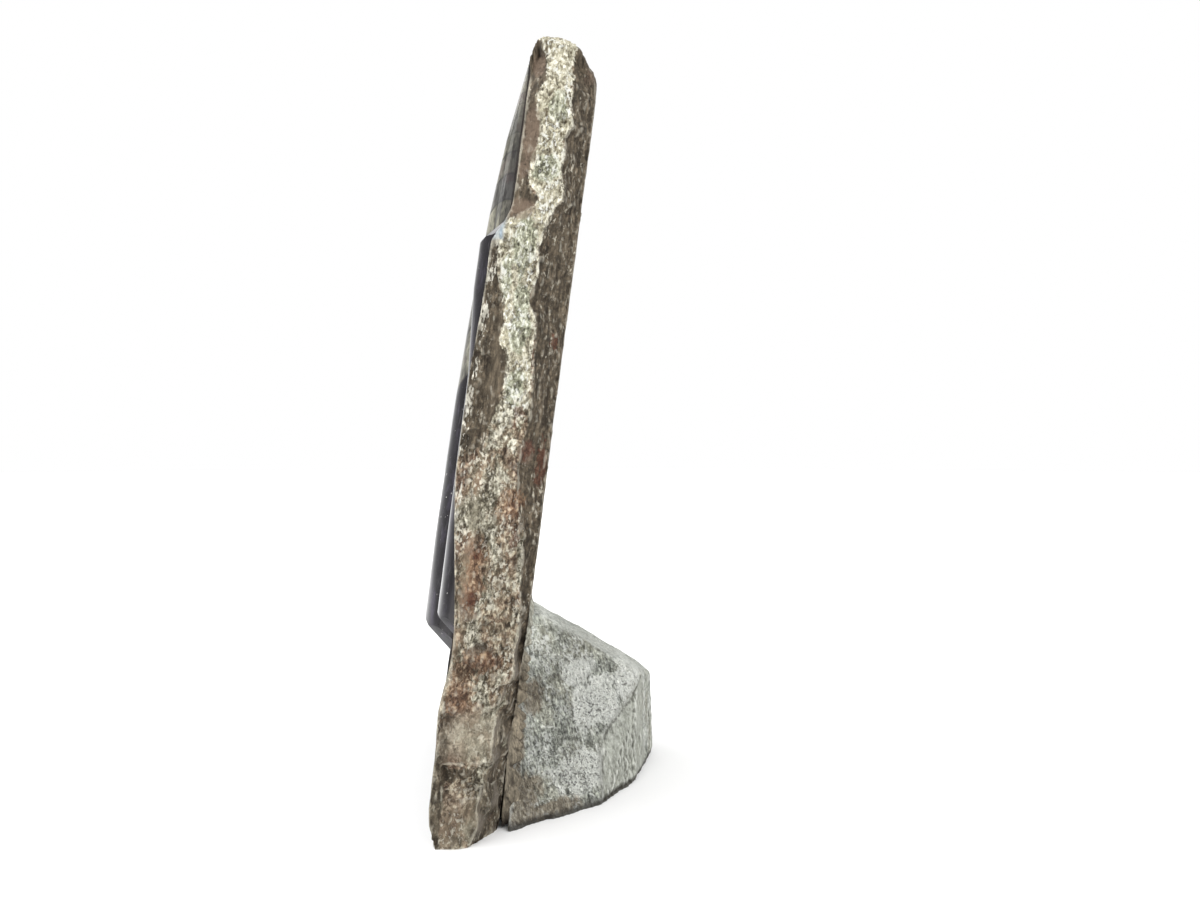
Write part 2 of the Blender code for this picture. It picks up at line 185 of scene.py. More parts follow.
# Border of the foot's rear facet on the near side: height, then depth behind the slab's back,
# and how far the facet is set back
FACET_BORDER = ((0, 38.0), (20, 36.5), (27, 42.0), (36, 52.0), (50, 70.0))
FACET_STEP = 0.9

# Triangles that each worked piece may have at most
MOST_FACES = {"slab": 190000, "foot": 120000, "mortar": 90000}

# Soft lights: place, size and power, all turned to the middle of the plaque
LIGHTS = {
    "key": ((-0.25, -0.85, 1.25), (1.1, 0.8), 14),
    "front": ((0.75, -0.75, 0.95), (0.7, 0.7), 6),
    "back": ((0.60, 0.85, 1.10), (1.2, 1.2), 12.5),
}
LIT_PLACE = (0, 0, 0.14)

# The floor glows by this much between these distances, painted light that brightens it as a sweep
# lit from behind does
FLOOR_GLOW = 0.45
FLOOR_GLOW_STARTS = 0.12
FLOOR_GLOW_FULL = 0.9


def srgb(red, green, blue):
    """A colour as seen on a screen, from 0 to 255, in the linear values that shaders use."""
    def linear(value):
        value /= 255
        return value / 12.92 if value <= 0.04045 else ((value + 0.055) / 1.055) ** 2.4
    return (linear(red), linear(green), linear(blue))


def colour(label, about, *value):
    return FloatVectorProperty(name=label, description=about, subtype="COLOR", size=3, min=0,
                               max=1, default=srgb(*value))


def length(label, about, value):
    return FloatProperty(name=label, description=about, default=value, unit="LENGTH", min=0)


class SlabSettings(bpy.types.PropertyGroup):
    grid: length("Grid", "Size of the faces that the rock is worked with", 0.8 * MM)
    lump: length("Lumps", "Height of the broad lumps of the broken edges", 1.3 * MM)
    crystal: length("Crystals", "Height of the crystals that stand out of the edges", 0.7 * MM)
    chisel: length("Tool marks", "Depth of the marks left on the front", 0.3 * MM)
    pale: colour("Pale vein", "Crystalline vein in the edges", 199, 192, 166)
    brown: colour("Brown rock", "Granular rock of the lower edge", 134, 117, 97)
    dark: colour("Dark rock", "Weathered rock behind the vein", 86, 77, 64)
    rust: colour("Rust", "Iron stains", 112, 66, 50)
    matrix: colour("Front", "Dark rock round the fossils", 44, 42, 41)


class FossilSettings(bpy.types.PropertyGroup):
    shell: colour("Shell", "Calcite that fills the chambers", 106, 105, 101)
    cream: colour("Cream calcite", "Palest chambers", 176, 172, 150)
    body: colour("Body chamber", "Black filling of the last chamber", 30, 28, 32)
    gloss: FloatProperty(name="Gloss", description="Roughness of the polish", default=0.09,
                         min=0, max=1, subtype="FACTOR")


class FootSettings(bpy.types.PropertyGroup):
    grid: length("Grid", "Size of the faces that the foot is worked with", 0.8 * MM)
    lump: length("Lumps", "Height of the roughness of the broken faces", 0.5 * MM)
    grey: colour("Grey stone", "Body of the foot", 164, 167, 157)
    chalk: colour("Chalky patches", "Crushed stone on the rough faces", 244, 246, 238)
    speck: colour("Specks", "Dark grains", 92, 93, 88)
    mortar: colour("Mortar", "Filler between slab and foot", 126, 117, 101)


class StageSettings(bpy.types.PropertyGroup):
    floor: colour("Floor", "Pale floor", 232, 232, 232)
    floor_radius: length("Floor radius", "How far the floor reaches", 6.0)
    lens: FloatProperty(name="Lens", description="Focal length in mm", default=29.34, min=1)


def table(rows, column=1):
    """Heights and one column of a table in mm, as arrays in metres."""
    return (np.array([row[0] for row in rows]) * MM, np.array([row[column] for row in rows]) * MM)


def smooth(low, high, value):
    t = np.clip((value - low) / (high - low), 0, 1)
    return t * t * (3 - 2 * t)


def waves(places, size, seed):
    """A smooth, irregular swell of about 1 to -1 through space, with crests this far apart."""
    chance = np.random.default_rng(seed)
    total = np.zeros(len(places))
    for _ in range(8):
        direction = chance.normal(size=3)
        direction *= chance.uniform(0.6, 1.7) * math.tau / size / np.linalg.norm(direction)
        total += np.sin(places @ direction + chance.uniform(0, math.tau))
    return total / 2.8


def slab_coordinates(places):
    """Across, up and depth behind the front of places, in the slab's own leaning frame."""
    behind = places[:, 1] - FRONT_AT_GROUND
    up = behind * math.sin(LEAN) + places[:, 2] * math.cos(LEAN)
    depth = behind * math.cos(LEAN) - places[:, 2] * math.sin(LEAN)
    return places[:, 0], up, depth


def in_slab(across, up, out):
    """World place of a point given across, up and out of the slab's front face."""
    return Vector((
        across,
        FRONT_AT_GROUND + up * math.sin(LEAN) - out * math.cos(LEAN),
        up * math.cos(LEAN) + out * math.sin(LEAN),
    ))


def select_only(piece):
    bpy.ops.object.select_all(action="DESELECT")
    piece.select_set(True)
    bpy.context.view_layer.objects.active = piece


def edit(piece, action="SELECT"):
    """Opens a piece in edit mode with all of it selected, or none."""
    select_only(piece)
    bpy.ops.object.mode_set(mode="EDIT")
    bpy.ops.mesh.select_all(action=action)


def leave():
    bpy.ops.object.mode_set(mode="OBJECT")


def copy_of(node, name):
    """A merged copy of one of the frame's solids."""
    piece = bpy.data.objects.new(name, frame["nodes"][node].data.copy())
    bpy.context.scene.collection.objects.link(piece)
    piece.data.materials.clear()
    edit(piece)
    bpy.ops.mesh.remove_doubles(threshold=0.01 * MM)
    bpy.ops.mesh.normals_make_consistent(inside=False)
    leave()
    return piece


def apply(piece, kind, **settings):
    """Adds a modifier with these settings and applies it."""
    modifier = piece.modifiers.new(kind.title(), kind)
    for key, value in settings.items():
        setattr(modifier, key, value)
    select_only(piece)
    bpy.ops.object.modifier_apply(modifier=modifier.name)


def refine(piece, size):
    """Rebuilds a piece in even faces of this size."""
    apply(piece, "REMESH", mode="VOXEL", voxel_size=size * 1)


def shade_round(piece, sharp_from):
    """Shades a piece smooth, apart from edges that are sharper than this angle in degrees."""
    select_only(piece)
    bpy.ops.object.shade_smooth_by_angle(angle=math.radians(sharp_from))


def pattern(name, kind, size, **settings):
    """A texture that a relief is worked from."""
    texture = bpy.data.textures.new(name, kind)
    texture.noise_scale = size
    for key, value in settings.items():
        setattr(texture, key, value)
    return texture


def relief(piece, texture, height, group="", level=0.5, guide=None):
    """Works a texture into a piece, through a vertex group and along a guide if given."""
    settings = {"texture": texture, "strength": height, "mid_level": level, "vertex_group": group,
                "texture_coords": "LOCAL"}
    if guide:
        settings.update(texture_coords="OBJECT", texture_coords_object=guide)
    apply(piece, "DISPLACE", **settings)


def grain_guide(name, stretch):
    """An empty that turns a pattern along the slab's slope and draws it out upwards."""
    guide = bpy.data.objects.new(name, None)
    bpy.context.scene.collection.objects.link(guide)
    guide.rotation_euler.x = -LEAN
    guide.scale = (1, 1, stretch)
    bpy.context.view_layer.update()
    return guide


def places_of(piece):
    values = np.empty(len(piece.data.vertices) * 3)
    piece.data.vertices.foreach_get("co", values)
    return values.reshape(-1, 3)


def normals_of(piece):
    values = np.empty(len(piece.data.vertices) * 3, np.float32)
    piece.data.vertex_normals.foreach_get("vector", values)
    return values.reshape(-1, 3)


def put_places(piece, places):
    piece.data.vertices.foreach_set("co", places.ravel())
    piece.data.update()


def mark(piece, **marks):
    """Stores values for each vertex, for a material to read."""
    for name, values in marks.items():
        attribute = piece.data.attributes.new(name, "FLOAT", "POINT")
        attribute.data.foreach_set("value", np.asarray(values, np.float32))


def weigh(piece, name, values):
    """A vertex group in steps of a tenth, for a relief to work through."""
    group = piece.vertex_groups.new(name=name)
    steps = np.rint(np.clip(values, 0, 1) * 10).astype(int)
    for step in range(1, 11):
        group.add(np.flatnonzero(steps == step).tolist(), step / 10, "REPLACE")


def hollows_of(piece, rounds=2):
    """How hollow (above 0) or proud (below 0) each vertex lies, in metres."""
    mesh = piece.data
    pairs = np.empty(len(mesh.edges) * 2, int)
    mesh.edges.foreach_get("vertices", pairs)
    first, second = pairs.reshape(-1, 2).T
    count = len(mesh.vertices)
    shared = np.bincount(first, minlength=count) + np.bincount(second, minlength=count)
    places, normals = places_of(piece), normals_of(piece)
    smoothed = places
    for _ in range(rounds):
        total = np.stack([
            np.bincount(first, smoothed[second, axis], count)
            + np.bincount(second, smoothed[first, axis], count) for axis in range(3)], 1)
        smoothed = total / np.maximum(shared, 1)[:, None]
    return ((smoothed - places) * normals).sum(1)


def hollow_mark(piece, full):
    """1 where the surface lies this hollow or more, and -1 where it is as proud."""
    return np.clip(hollows_of(piece) / full, -1, 1)


def keep_inside(piece, *nodes):
    """Nothing that is worked on stands out of the box that these solids fill together."""
    corners = [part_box(node) for node in nodes]
    low = np.min([low for low, _ in corners], 0)
    high = np.max([high for _, high in corners], 0)
    put_places(piece, np.clip(places_of(piece), low, high))


def thin(piece, most):
    """Leaves the small faces where the surface is busy, and fewer in all than most."""
    triangles = sum(len(face.vertices) - 2 for face in piece.data.polygons)
    if triangles > most:
        apply(piece, "DECIMATE", ratio=most / triangles)


def drop_crumbs(piece):
    """Deletes bits that came loose from the body of a piece."""
    edit(piece, "DESELECT")
    form = bmesh.from_edit_mesh(piece.data)
    max(form.verts, key=lambda corner: corner.co.z).select = True
    form.select_flush(True)
    bmesh.update_edit_mesh(piece.data)
    bpy.ops.mesh.select_linked()
    bpy.ops.mesh.select_all(action="INVERT")
    bpy.ops.mesh.delete(type="VERT")
    leave()


def matt_front(rock):
    """The same rock without any sheen, for the tooled front."""
    matt = rock.copy()
    matt.name = "Tooled limestone"
    matt.node_tree.nodes["Principled BSDF"].inputs["Specular IOR Level"].default_value = 0.0
    return matt


def give_front(piece, material):
    """Gives the tooled front its own material."""
    piece.data.materials.append(material)
    values = np.empty(len(piece.data.vertices), np.float32)
    piece.data.attributes["front"].data.foreach_get("value", values)
    slots = np.zeros(len(piece.data.polygons), np.int32)
    for number, face in enumerate(piece.data.polygons):
        slots[number] = values[list(face.vertices)].mean() > 0.5
    piece.data.polygons.foreach_set("material_index", slots)
    piece.data.update()


def finish_piece(piece, material, slot, *nodes):
    piece.data.materials.clear()
    piece.data.materials.append(material)
    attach(piece, "root")
    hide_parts(*nodes)


class Value:
    """A value or colour in a node tree, to reckon with as with a number."""

    def __init__(self, board, socket):
        self.board = board
        self.socket = socket

    def __add__(self, other):
        return self.board.math("ADD", self, other)

    def __sub__(self, other):
        return self.board.math("SUBTRACT", self, other)

    def __rsub__(self, other):
        return self.board.math("SUBTRACT", other, self)

    def __mul__(self, other):
        return self.board.math("MULTIPLY", self, other)

    def __truediv__(self, other):
        return self.board.math("DIVIDE", self, other)

    def __rtruediv__(self, other):
        return self.board.math("DIVIDE", other, self)

    def __abs__(self):
        return self.board.math("ABSOLUTE", self)

    __radd__ = __add__
    __rmul__ = __mul__

    def swing(self, reach):
        """The value of a noise, turned to run about 0, and this wide."""
        return (self - 0.5) * reach

    def fade(self, low, high, end=1.0, start=0.0):
        """A smooth change from start to end while the value goes from low to high."""
        return self.board.value("Result", "ShaderNodeMapRange", {
            "Value": self, "From Min": low, "From Max": high, "To Min": start, "To Max": end,
        }, interpolation_type="SMOOTHSTEP")


class Board:
    """Short ways to add and wire nodes in one tree."""

    def __init__(self, tree):
        self.tree = tree

    def feed(self, node, inputs):
        """Wires values to a node's inputs, or sets them to plain numbers and colours."""
        for key, value in inputs.items():
            socket = node.inputs[key]
            if isinstance(value, Value):
                self.tree.links.new(value.socket, socket)
            elif socket.type == "RGBA":
                socket.default_value = (*value, 1.0)
            else:
                socket.default_value = value

    def add(self, kind, inputs, **settings):
        node = self.tree.nodes.new(kind)
        for key, value in settings.items():
            setattr(node, key, value)
        self.feed(node, inputs)
        return node

    def value(self, output, kind, inputs, **settings):
        """One output of a new node."""
        return Value(self, self.add(kind, inputs, **settings).outputs[output])

    def math(self, operation, first, second=0.0):
        return self.value(0, "ShaderNodeMath", {0: first, 1: second}, operation=operation)

    def mix(self, factor, first, second):
        return self.value(2, "ShaderNodeMix", {0: factor, 6: first, 7: second},
                          data_type="RGBA")

    def coats(self, tint, *layers):
        """Lays colours over a tint in turn, each as strongly as its mask says."""
        for mask, over in layers:
            tint = self.mix(mask, tint, over)
        return tint

    def ramp(self, value, *stops):
        """Colours at places from 0 to 1 along a value."""
        node = self.add("ShaderNodeValToRGB", {"Fac": value})
        band = node.color_ramp
        while len(band.elements) < len(stops):
            band.elements.new(0.5)
        for element, (place, tint) in zip(band.elements, stops):
            element.position = place
            element.color = (*tint, 1.0)
        return Value(self, node.outputs["Color"])

    def shades(self, tone, *tints):
        """Screen colours for the dark, the middle and the light grains of a stone."""
        return self.ramp(tone, *zip((0.15, 0.5, 0.85), [srgb(*tint) for tint in tints]))

    def noise(self, vector, size, detail=4.0, rough=0.6, twist=0.0):
        return self.value("Fac", "ShaderNodeTexNoise", {
            "Vector": vector, "Scale": 1 / size, "Detail": detail, "Roughness": rough,
            "Distortion": twist})

    def turn(self, vector, **inputs):
        """Coordinates that are turned, scaled or shifted."""
        return self.value(0, "ShaderNodeMapping", {"Vector": vector, **inputs})

    def along_slab(self, place, stretch=1.0):
        """Coordinates turned with the slab's slope, and drawn out upwards."""
        return self.turn(self.turn(place, Rotation=(LEAN, 0, 0)), Scale=(1, 1, 1 / stretch))

    def attribute(self, name):
        return self.value("Fac", "ShaderNodeAttribute", {}, attribute_name=name)

    def ragged(self, name, noise, reach):
        """A stored value whose borders are made ragged by a noise."""
        return self.attribute(name) + noise.swing(reach)

    def calmed(self, tone, calm, share):
        """A tone that keeps only this share of its contrast where calm is 1."""
        return self.value(0, "ShaderNodeMix", {0: calm, 2: tone, 3: 0.5 + tone.swing(share)})

    def grain(self, vector, size, share):
        """The stone grain's outputs: grain, flecks, gaps and height."""
        node = self.add("ShaderNodeGroup", {"Vector": vector, "Grain Size": size,
                                            "Fleck Share": share}, node_tree=stone_grain_group())
        return [Value(self, output) for output in node.outputs]

    def bump(self, height, reach):
        """Fine relief of the given reach in metres, where height runs from 0 to 1."""
        return self.value("Normal", "ShaderNodeBump", {"Height": height, "Distance": reach,
                                                       "Strength": 1.0})


def shade(base, factor):
    return tuple(min(value * factor, 1.0) for value in base)


def stone_grain_group():
    """Grains of broken stone: how light each is, white flecks, dark gaps and their height."""
    name = "Stone grain"
    if name in bpy.data.node_groups:
        return bpy.data.node_groups[name]
    tree = bpy.data.node_groups.new(name, "ShaderNodeTree")
    for label, kind, way in (
        ("Vector", "Vector", "INPUT"), ("Grain Size", "Float", "INPUT"),
        ("Fleck Share", "Float", "INPUT"), ("Grain", "Float", "OUTPUT"),
        ("Flecks", "Float", "OUTPUT"), ("Gaps", "Float", "OUTPUT"), ("Height", "Float", "OUTPUT"),
    ):
        tree.interface.new_socket(name=label, in_out=way, socket_type="NodeSocket" + kind)
    board = Board(tree)
    given = board.add("NodeGroupInput", {}).outputs
    vector, size, share = [Value(board, socket) for socket in given[:3]]
    scale = 1.0 / size

    def cloud(times, detail, rough, twist=0.0, output="Fac"):
        return board.value(output, "ShaderNodeTexNoise", {
            "Vector": vector, "Scale": scale * times, "Detail": detail, "Roughness": rough,
            "Distortion": twist})

    def reckon(operation, inputs):
        return board.value(0, "ShaderNodeVectorMath", inputs, operation=operation)

    warp = reckon("SUBTRACT", {0: cloud(1.1, 3.0, 0.6, output="Color"), 1: (0.5, 0.5, 0.5)})
    moved = reckon("ADD", {0: vector, 1: reckon("SCALE", {0: warp, "Scale": size * 2.2})})
    cells = board.value("Color", "ShaderNodeTexVoronoi", {"Vector": moved, "Scale": scale * 0.9})
    tone = board.value("Red", "ShaderNodeSeparateColor", {"Color": cells})
    grain = tone * 0.45 + cloud(1.0, 5.0, 0.64, 0.6).fade(0.37, 0.63) * 0.55
    fleck = cloud(0.75, 4.0, 0.62, 0.4) - (0.66 - share * 0.2)
    fleck = fleck.fade(-0.015, 0.03) * cloud(0.13, 2.0, 0.5).fade(0.44, 0.56)
    pit = cloud(0.62, 5.0, 0.7, 0.6).fade(0.42, 0.33)
    height = grain + fleck * 0.4 - pit * 0.7
    board.feed(board.add("NodeGroupOutput", {}), {"Grain": grain, "Flecks": fleck, "Gaps": pit,
                                                  "Height": height})
    return tree


def new_material(name):
    """A material with its board, its shader, and the piece's own coordinates."""
    material = bpy.data.materials.new(name)
    material.use_nodes = True
    board = Board(material.node_tree)
    shader = material.node_tree.nodes["Principled BSDF"]
    return material, board, shader, board.value("Object", "ShaderNodeTexCoord", {})


def limestone(settings):
    """Rough edges with a pale vein, brown and dark rock, the tooled front and the sawn back."""
    material, board, shader, place = new_material("Limestone")
    flow = board.along_slab(place, 1.5)
    grain, flecks, gaps, rise = board.grain(flow, 1.0 * MM, 0.55)
    broad = board.noise(place, 9 * MM, 3.0)
    mottle = board.noise(flow, 4.2 * MM, 5.0, 0.6, 0.5)
    streak = board.noise(board.along_slab(place, 6.0), 1.4 * MM, 5.0, 0.65)
    calm = board.attribute("smooth")
    # How hollow or proud the rock lies, for painted shade in hollows and painted highlights on
    # proud parts
    hollow = board.attribute("hollow")
    tone = grain * 0.72 + mottle.fade(0.36, 0.64) * 0.28 - gaps * 0.25
    tone = board.calmed(tone, calm, 0.4)

    pale, brown, dark = settings.pale, settings.brown, settings.dark
    cream = board.ramp(tone, (0.14, srgb(88, 78, 60)), (0.36, shade(pale, 0.52)), (0.58, pale),
                       (0.82, srgb(240, 237, 222)))
    cold = board.ramp(tone, (0.14, srgb(80, 81, 67)), (0.38, srgb(130, 132, 111)),
                      (0.60, srgb(175, 178, 154)), (0.84, srgb(234, 235, 218)))
    vein = board.coats(cream, (board.ragged("cool", mottle, 1.6).fade(0.40, 0.60, 0.8), cold),
                       (flecks * 0.8, srgb(250, 250, 242)))
    loam = board.ramp(tone, (0.14, shade(brown, 0.24)), (0.38, shade(brown, 0.66)),
                      (0.60, shade(brown, 1.15)), (0.86, srgb(200, 189, 164)))
    olive = board.ramp(tone, (0.14, srgb(50, 48, 38)), (0.38, srgb(96, 93, 79)),
                       (0.60, srgb(152, 149, 131)), (0.86, srgb(220, 217, 200)))
    umber = board.ramp(tone, (0.14, srgb(44, 31, 26)), (0.40, srgb(90, 69, 58)),
                       (0.62, srgb(138, 114, 97)), (0.86, srgb(200, 180, 158)))
    drift = board.noise(flow, 10 * MM, 4.0, 0.6, 0.8)
    loam = board.coats(loam, (drift.fade(0.45, 0.58, 0.8), olive),
                       (drift.fade(0.47, 0.36, 0.7), umber),
                       (flecks * 0.7, srgb(232, 226, 208)))
    dusk = board.ramp(tone * 0.55 + streak.fade(0.3, 0.7) * 0.45, (0.2, shade(dark, 0.38)),
                      (0.5, dark), (0.8, shade(dark, 2.0)))
    dusk = board.mix(flecks * streak.fade(0.50, 0.60) * 0.8, dusk, srgb(205, 198, 180))

    wander = board.noise(flow, 3.4 * MM, 6.0, 0.62)
    in_vein = board.ragged("vein", wander, 1.3)
    in_dark = board.ragged("dark", wander, 1.3)
    # Painted highlight: a bright line just inside the vein's rear border, where a lit ledge would
    # catch the light
    rim = in_vein.fade(0.46, 0.54) * in_vein.fade(0.72, 0.58) * grain.fade(0.35, 0.6)
    frayed = board.noise(flow, 1.9 * MM, 6.0, 0.68, 0.4)
    slits = board.noise(board.along_slab(place, 5.0), 0.8 * MM, 5.0, 0.66)
    chips = board.attribute("chips")
    chip = chips + slits.swing(3.0) + broad.swing(2.0)
    chip = chip.fade(0.66, 0.80) * chips.fade(0.05, 0.3)
    edges = board.coats(
        loam,
        (in_dark.fade(0.42, 0.58), dusk),
        (in_vein.fade(0.45, 0.55), vein),
        # painted highlight along the vein's rear border
        (rim * 0.65, srgb(240, 236, 220)),
        (board.ragged("russet", mottle, 0.8).fade(0.30, 0.75, 0.7),
         board.mix(tone, srgb(76, 62, 52), srgb(136, 118, 102))),
        (board.ragged("ochre", frayed, 2.6).fade(0.40, 0.80, 0.55),
         board.ramp(tone, (0.2, srgb(78, 52, 40)), (0.5, srgb(128, 92, 68)),
                    (0.85, srgb(190, 156, 122)))),
        (board.ragged("rust", frayed, 3.2).fade(0.50, 0.85, 0.62),
         board.mix(tone, shade(settings.rust, 0.3), settings.rust)),
        (board.attribute("dirty").fade(0.2, 0.8, 0.5),
         board.shades(tone, (48, 43, 36), (92, 85, 72), (158, 150, 132))),
        (board.attribute("worn").fade(0.2, 0.8, 0.6),
         board.shades(tone, (88, 81, 68), (146, 139, 122), (214, 208, 190))),
        (gaps * 0.32, srgb(60, 51, 42)),
        (chip * 0.9, board.mix(mottle.fade(0.4, 0.6), srgb(196, 192, 178), srgb(244, 240, 226))),
        # painted reflection of the bright sky on the slope above the near fossil
        (board.attribute("sheen"),
         board.mix(broad.fade(0.4, 0.6), srgb(122, 138, 150), srgb(154, 168, 178))),
        # painted shade in the hollows, and painted highlights on the proud parts
        (hollow.fade(0.15, 1.0, 0.55), srgb(54, 46, 38)),
        (hollow.fade(-0.2, -1.0, 0.3), srgb(226, 220, 202)),
    )

    front = board.attribute("front")
    brush = board.noise(board.along_slab(place, 9.0), 1.1 * MM, 3.0, 0.6)
    bits = board.noise(place, 1.5 * MM, 3.0, 0.55, 1.0)
    bruise = board.attribute("bruise") * board.noise(place, 1.6 * MM, 4.0, 0.6).fade(0.40, 0.60)
    matrix = settings.matrix
    face = board.coats(
        board.ramp(board.noise(place, 22 * MM, 9.0, 0.62, 0.8), (0.30, shade(matrix, 0.50)),
                   (0.50, matrix), (0.72, shade(matrix, 1.9))),
        (brush.fade(0.52, 0.72, 0.22), srgb(104, 100, 96)),
        (bits.fade(0.66, 0.71) * broad.fade(0.46, 0.6) * 0.55, srgb(150, 146, 138)),
        (board.noise(place, 14 * MM, 6.0, 0.62, 0.4).fade(0.52, 0.68, 0.5), srgb(66, 55, 47)),
        (bruise * 0.42, srgb(98, 93, 88)),
        # painted shade in the hollows of the tooled front
        (hollow.fade(0.1, 0.8, 0.8), srgb(16, 15, 15)),
    )

    back = board.attribute("sawn")
    rubbed = board.noise(board.along_slab(place, 0.06), 2.4 * MM, 5.0, 0.66)
    from_hub = board.turn(board.along_slab(place), Location=[-value for value in SAW_HUB])
    arcs = board.value("Fac", "ShaderNodeTexWave", {
        "Vector": from_hub, "Scale": 70.0, "Distortion": 2.6, "Detail": 5.0,
        "Detail Scale": 5.0, "Detail Roughness": 0.7,
    }, wave_type="RINGS", rings_direction="Y")
    arcs = arcs * board.noise(place, 30 * MM, 4.0).fade(0.42, 0.58)
    saw = board.coats(
        board.ramp(board.noise(place, 12 * MM, 9.0, 0.66), (0.3, srgb(78, 70, 62)),
                   (0.52, srgb(98, 90, 80)), (0.75, srgb(124, 115, 102))),
        (rubbed.fade(0.44, 0.64, 0.45), srgb(146, 139, 126)),
        (arcs.fade(0.35, 0.9, 0.3), srgb(64, 57, 50)),
        (grain.fade(0.3, 0.7, 0.0, 0.25), srgb(66, 60, 54)),
        (gaps * 0.35, srgb(48, 42, 37)),
    )

    flat = board.math("MAXIMUM", front, back)
    rough = 1.0 - board.math("MAXIMUM", flat, calm * 0.8) * 0.8
    rough = rough * (rise + streak * 0.7)
    marks = flat * (brush * 0.25 + rubbed * 0.15)
    board.feed(shader, {
        "Base Color": board.coats(edges, (front, face), (back, saw)),
        "Roughness": board.coats((0.80,) * 3, (front, (0.70,) * 3), (flecks * 0.6, (0.35,) * 3)),
        "Specular IOR Level": 0.2,
        "Normal": board.bump(rough + marks, 0.7 * MM),
    })
    return material


def grey_stone(settings):
    """Sawn and broken grey stone with chalky, crushed patches."""
    material, board, shader, place = new_material("Grey stone")
    slant = board.turn(place, Rotation=(0.6, 0.0, 0.0), Scale=(1.0, 1.0, 0.45))
    grain, flecks, gaps, rise = board.grain(slant, 0.85 * MM, 0.8)
    mottle = board.noise(slant, 5.5 * MM, 8.0, 0.68, 0.9)
    fine = board.noise(place, 0.9 * MM, 5.0, 0.68)
    scratch = board.turn(place, Rotation=(-0.75, 0.0, 0.0), Scale=(1.0, 1.0, 0.16))
    scratch = board.noise(scratch, 1.0 * MM, 4.0, 0.62)
    scored = board.turn(place, Rotation=(0.9, 0.3, 0.0), Scale=(1.0, 0.22, 1.0))
    scored = board.noise(scored, 1.6 * MM, 6.0, 0.66, 0.6)
    calm = board.attribute("sawn")
    hollow = board.attribute("hollow")
    tone = grain * 0.48 + mottle.fade(0.36, 0.64) * 0.26 + scratch.fade(0.38, 0.62) * 0.26
    tone = board.calmed(tone, calm, 0.6)
    patch = board.ragged("chalk", mottle, 2.0).fade(0.38, 0.60) * grain.fade(0.2, 0.5, 1.0, 0.5)
    grey, chalk = settings.grey, settings.chalk
    tint = board.coats(
        board.ramp(tone, (0.22, shade(grey, 0.22)), (0.40, shade(grey, 0.66)),
                   (0.58, shade(grey, 1.15)), (0.80, shade(grey, 2.1))),
        (board.noise(place, 16 * MM, 4.0, 0.55).fade(0.42, 0.60, 0.55),
         board.shades(tone, (86, 84, 70), (158, 156, 138), (206, 203, 186))),
        (patch * 0.95, board.mix(fine.fade(0.34, 0.50), shade(chalk, 0.62), chalk)),
        (flecks * 0.6, srgb(244, 246, 240)),
        (board.ragged("specks", fine, 3.6).fade(0.74, 0.82, 0.9), settings.speck),
        (scored.fade(0.41, 0.36, 0.65), srgb(92, 92, 84)),
        (scored.fade(0.57, 0.64, 0.7), srgb(242, 244, 236)),
        (gaps * 0.55, srgb(84, 84, 78)),
        (board.attribute("facet") * 0.8,
         board.ramp(tone, (0.1, srgb(104, 105, 96)), (0.5, srgb(154, 156, 146)),
                    (0.9, srgb(200, 202, 193)))),
        (board.attribute("arris") * 0.5, srgb(112, 112, 102)),
        (board.ragged("earth", mottle, 1.8).fade(0.35, 0.75, 0.8),
         board.shades(tone, (66, 56, 46), (124, 112, 94), (176, 164, 144))),
        # painted shade in the hollows, and painted highlights on the proud parts
        (hollow.fade(0.15, 1.0, 0.7), srgb(66, 64, 58)),
        (hollow.fade(-0.15, -1.0, 0.5), srgb(234, 235, 228)),
        # painted light on the up-facing slopes
        (board.attribute("slope") * 0.7,
         board.shades(tone, (160, 163, 155), (214, 217, 209), (244, 246, 241))),
        # painted contact shade along the lowest edge, where the foot meets the ground
        (board.attribute("ground") * 0.85, srgb(52, 47, 41)),
    )
    board.feed(shader, {
        "Base Color": tint, "Roughness": 0.82, "Specular IOR Level": 0.35,
        "Normal": board.bump((1.0 - calm * 0.65) * (rise + fine), 1.1 * MM),
    })
    return material


def mortar_finish(settings):
    """Brownish filler, rubbed smooth by a finger and gritty with sand."""
    material, board, shader, place = new_material("Mortar")
    flow = board.along_slab(place, 2.5)
    grain, _, gaps, rise = board.grain(flow, 0.9 * MM, 0.2)
    mottle = board.noise(flow, 4 * MM, 7.0, 0.65, 0.6)
    tone = grain * 0.5 + mottle.fade(0.3, 0.7) * 0.5
    base = settings.mortar
    tint = board.coats(
        board.ramp(tone, (0.12, shade(base, 0.28)), (0.45, shade(base, 0.85)),
                   (0.65, shade(base, 1.25)), (0.9, shade(base, 1.9))),
        (board.attribute("dusty") * 0.8,
         board.ramp(tone, (0.12, srgb(92, 92, 84)), (0.5, srgb(150, 150, 138)),
                    (0.88, srgb(196, 197, 187)))),
        (gaps * 0.5, srgb(62, 53, 44)),
        # painted shade in the hollows, and in the crevice at the bottom between slab and foot
        (board.attribute("hollow").fade(0.15, 1.0, 0.75), srgb(48, 41, 34)),
        (board.attribute("deep"), srgb(46, 39, 33)),
    )
    board.feed(shader, {
        "Base Color": tint, "Roughness": 0.88, "Specular IOR Level": 0.3,
        "Normal": board.bump(mottle + rise * 0.6, 0.5 * MM),
    })
    return material


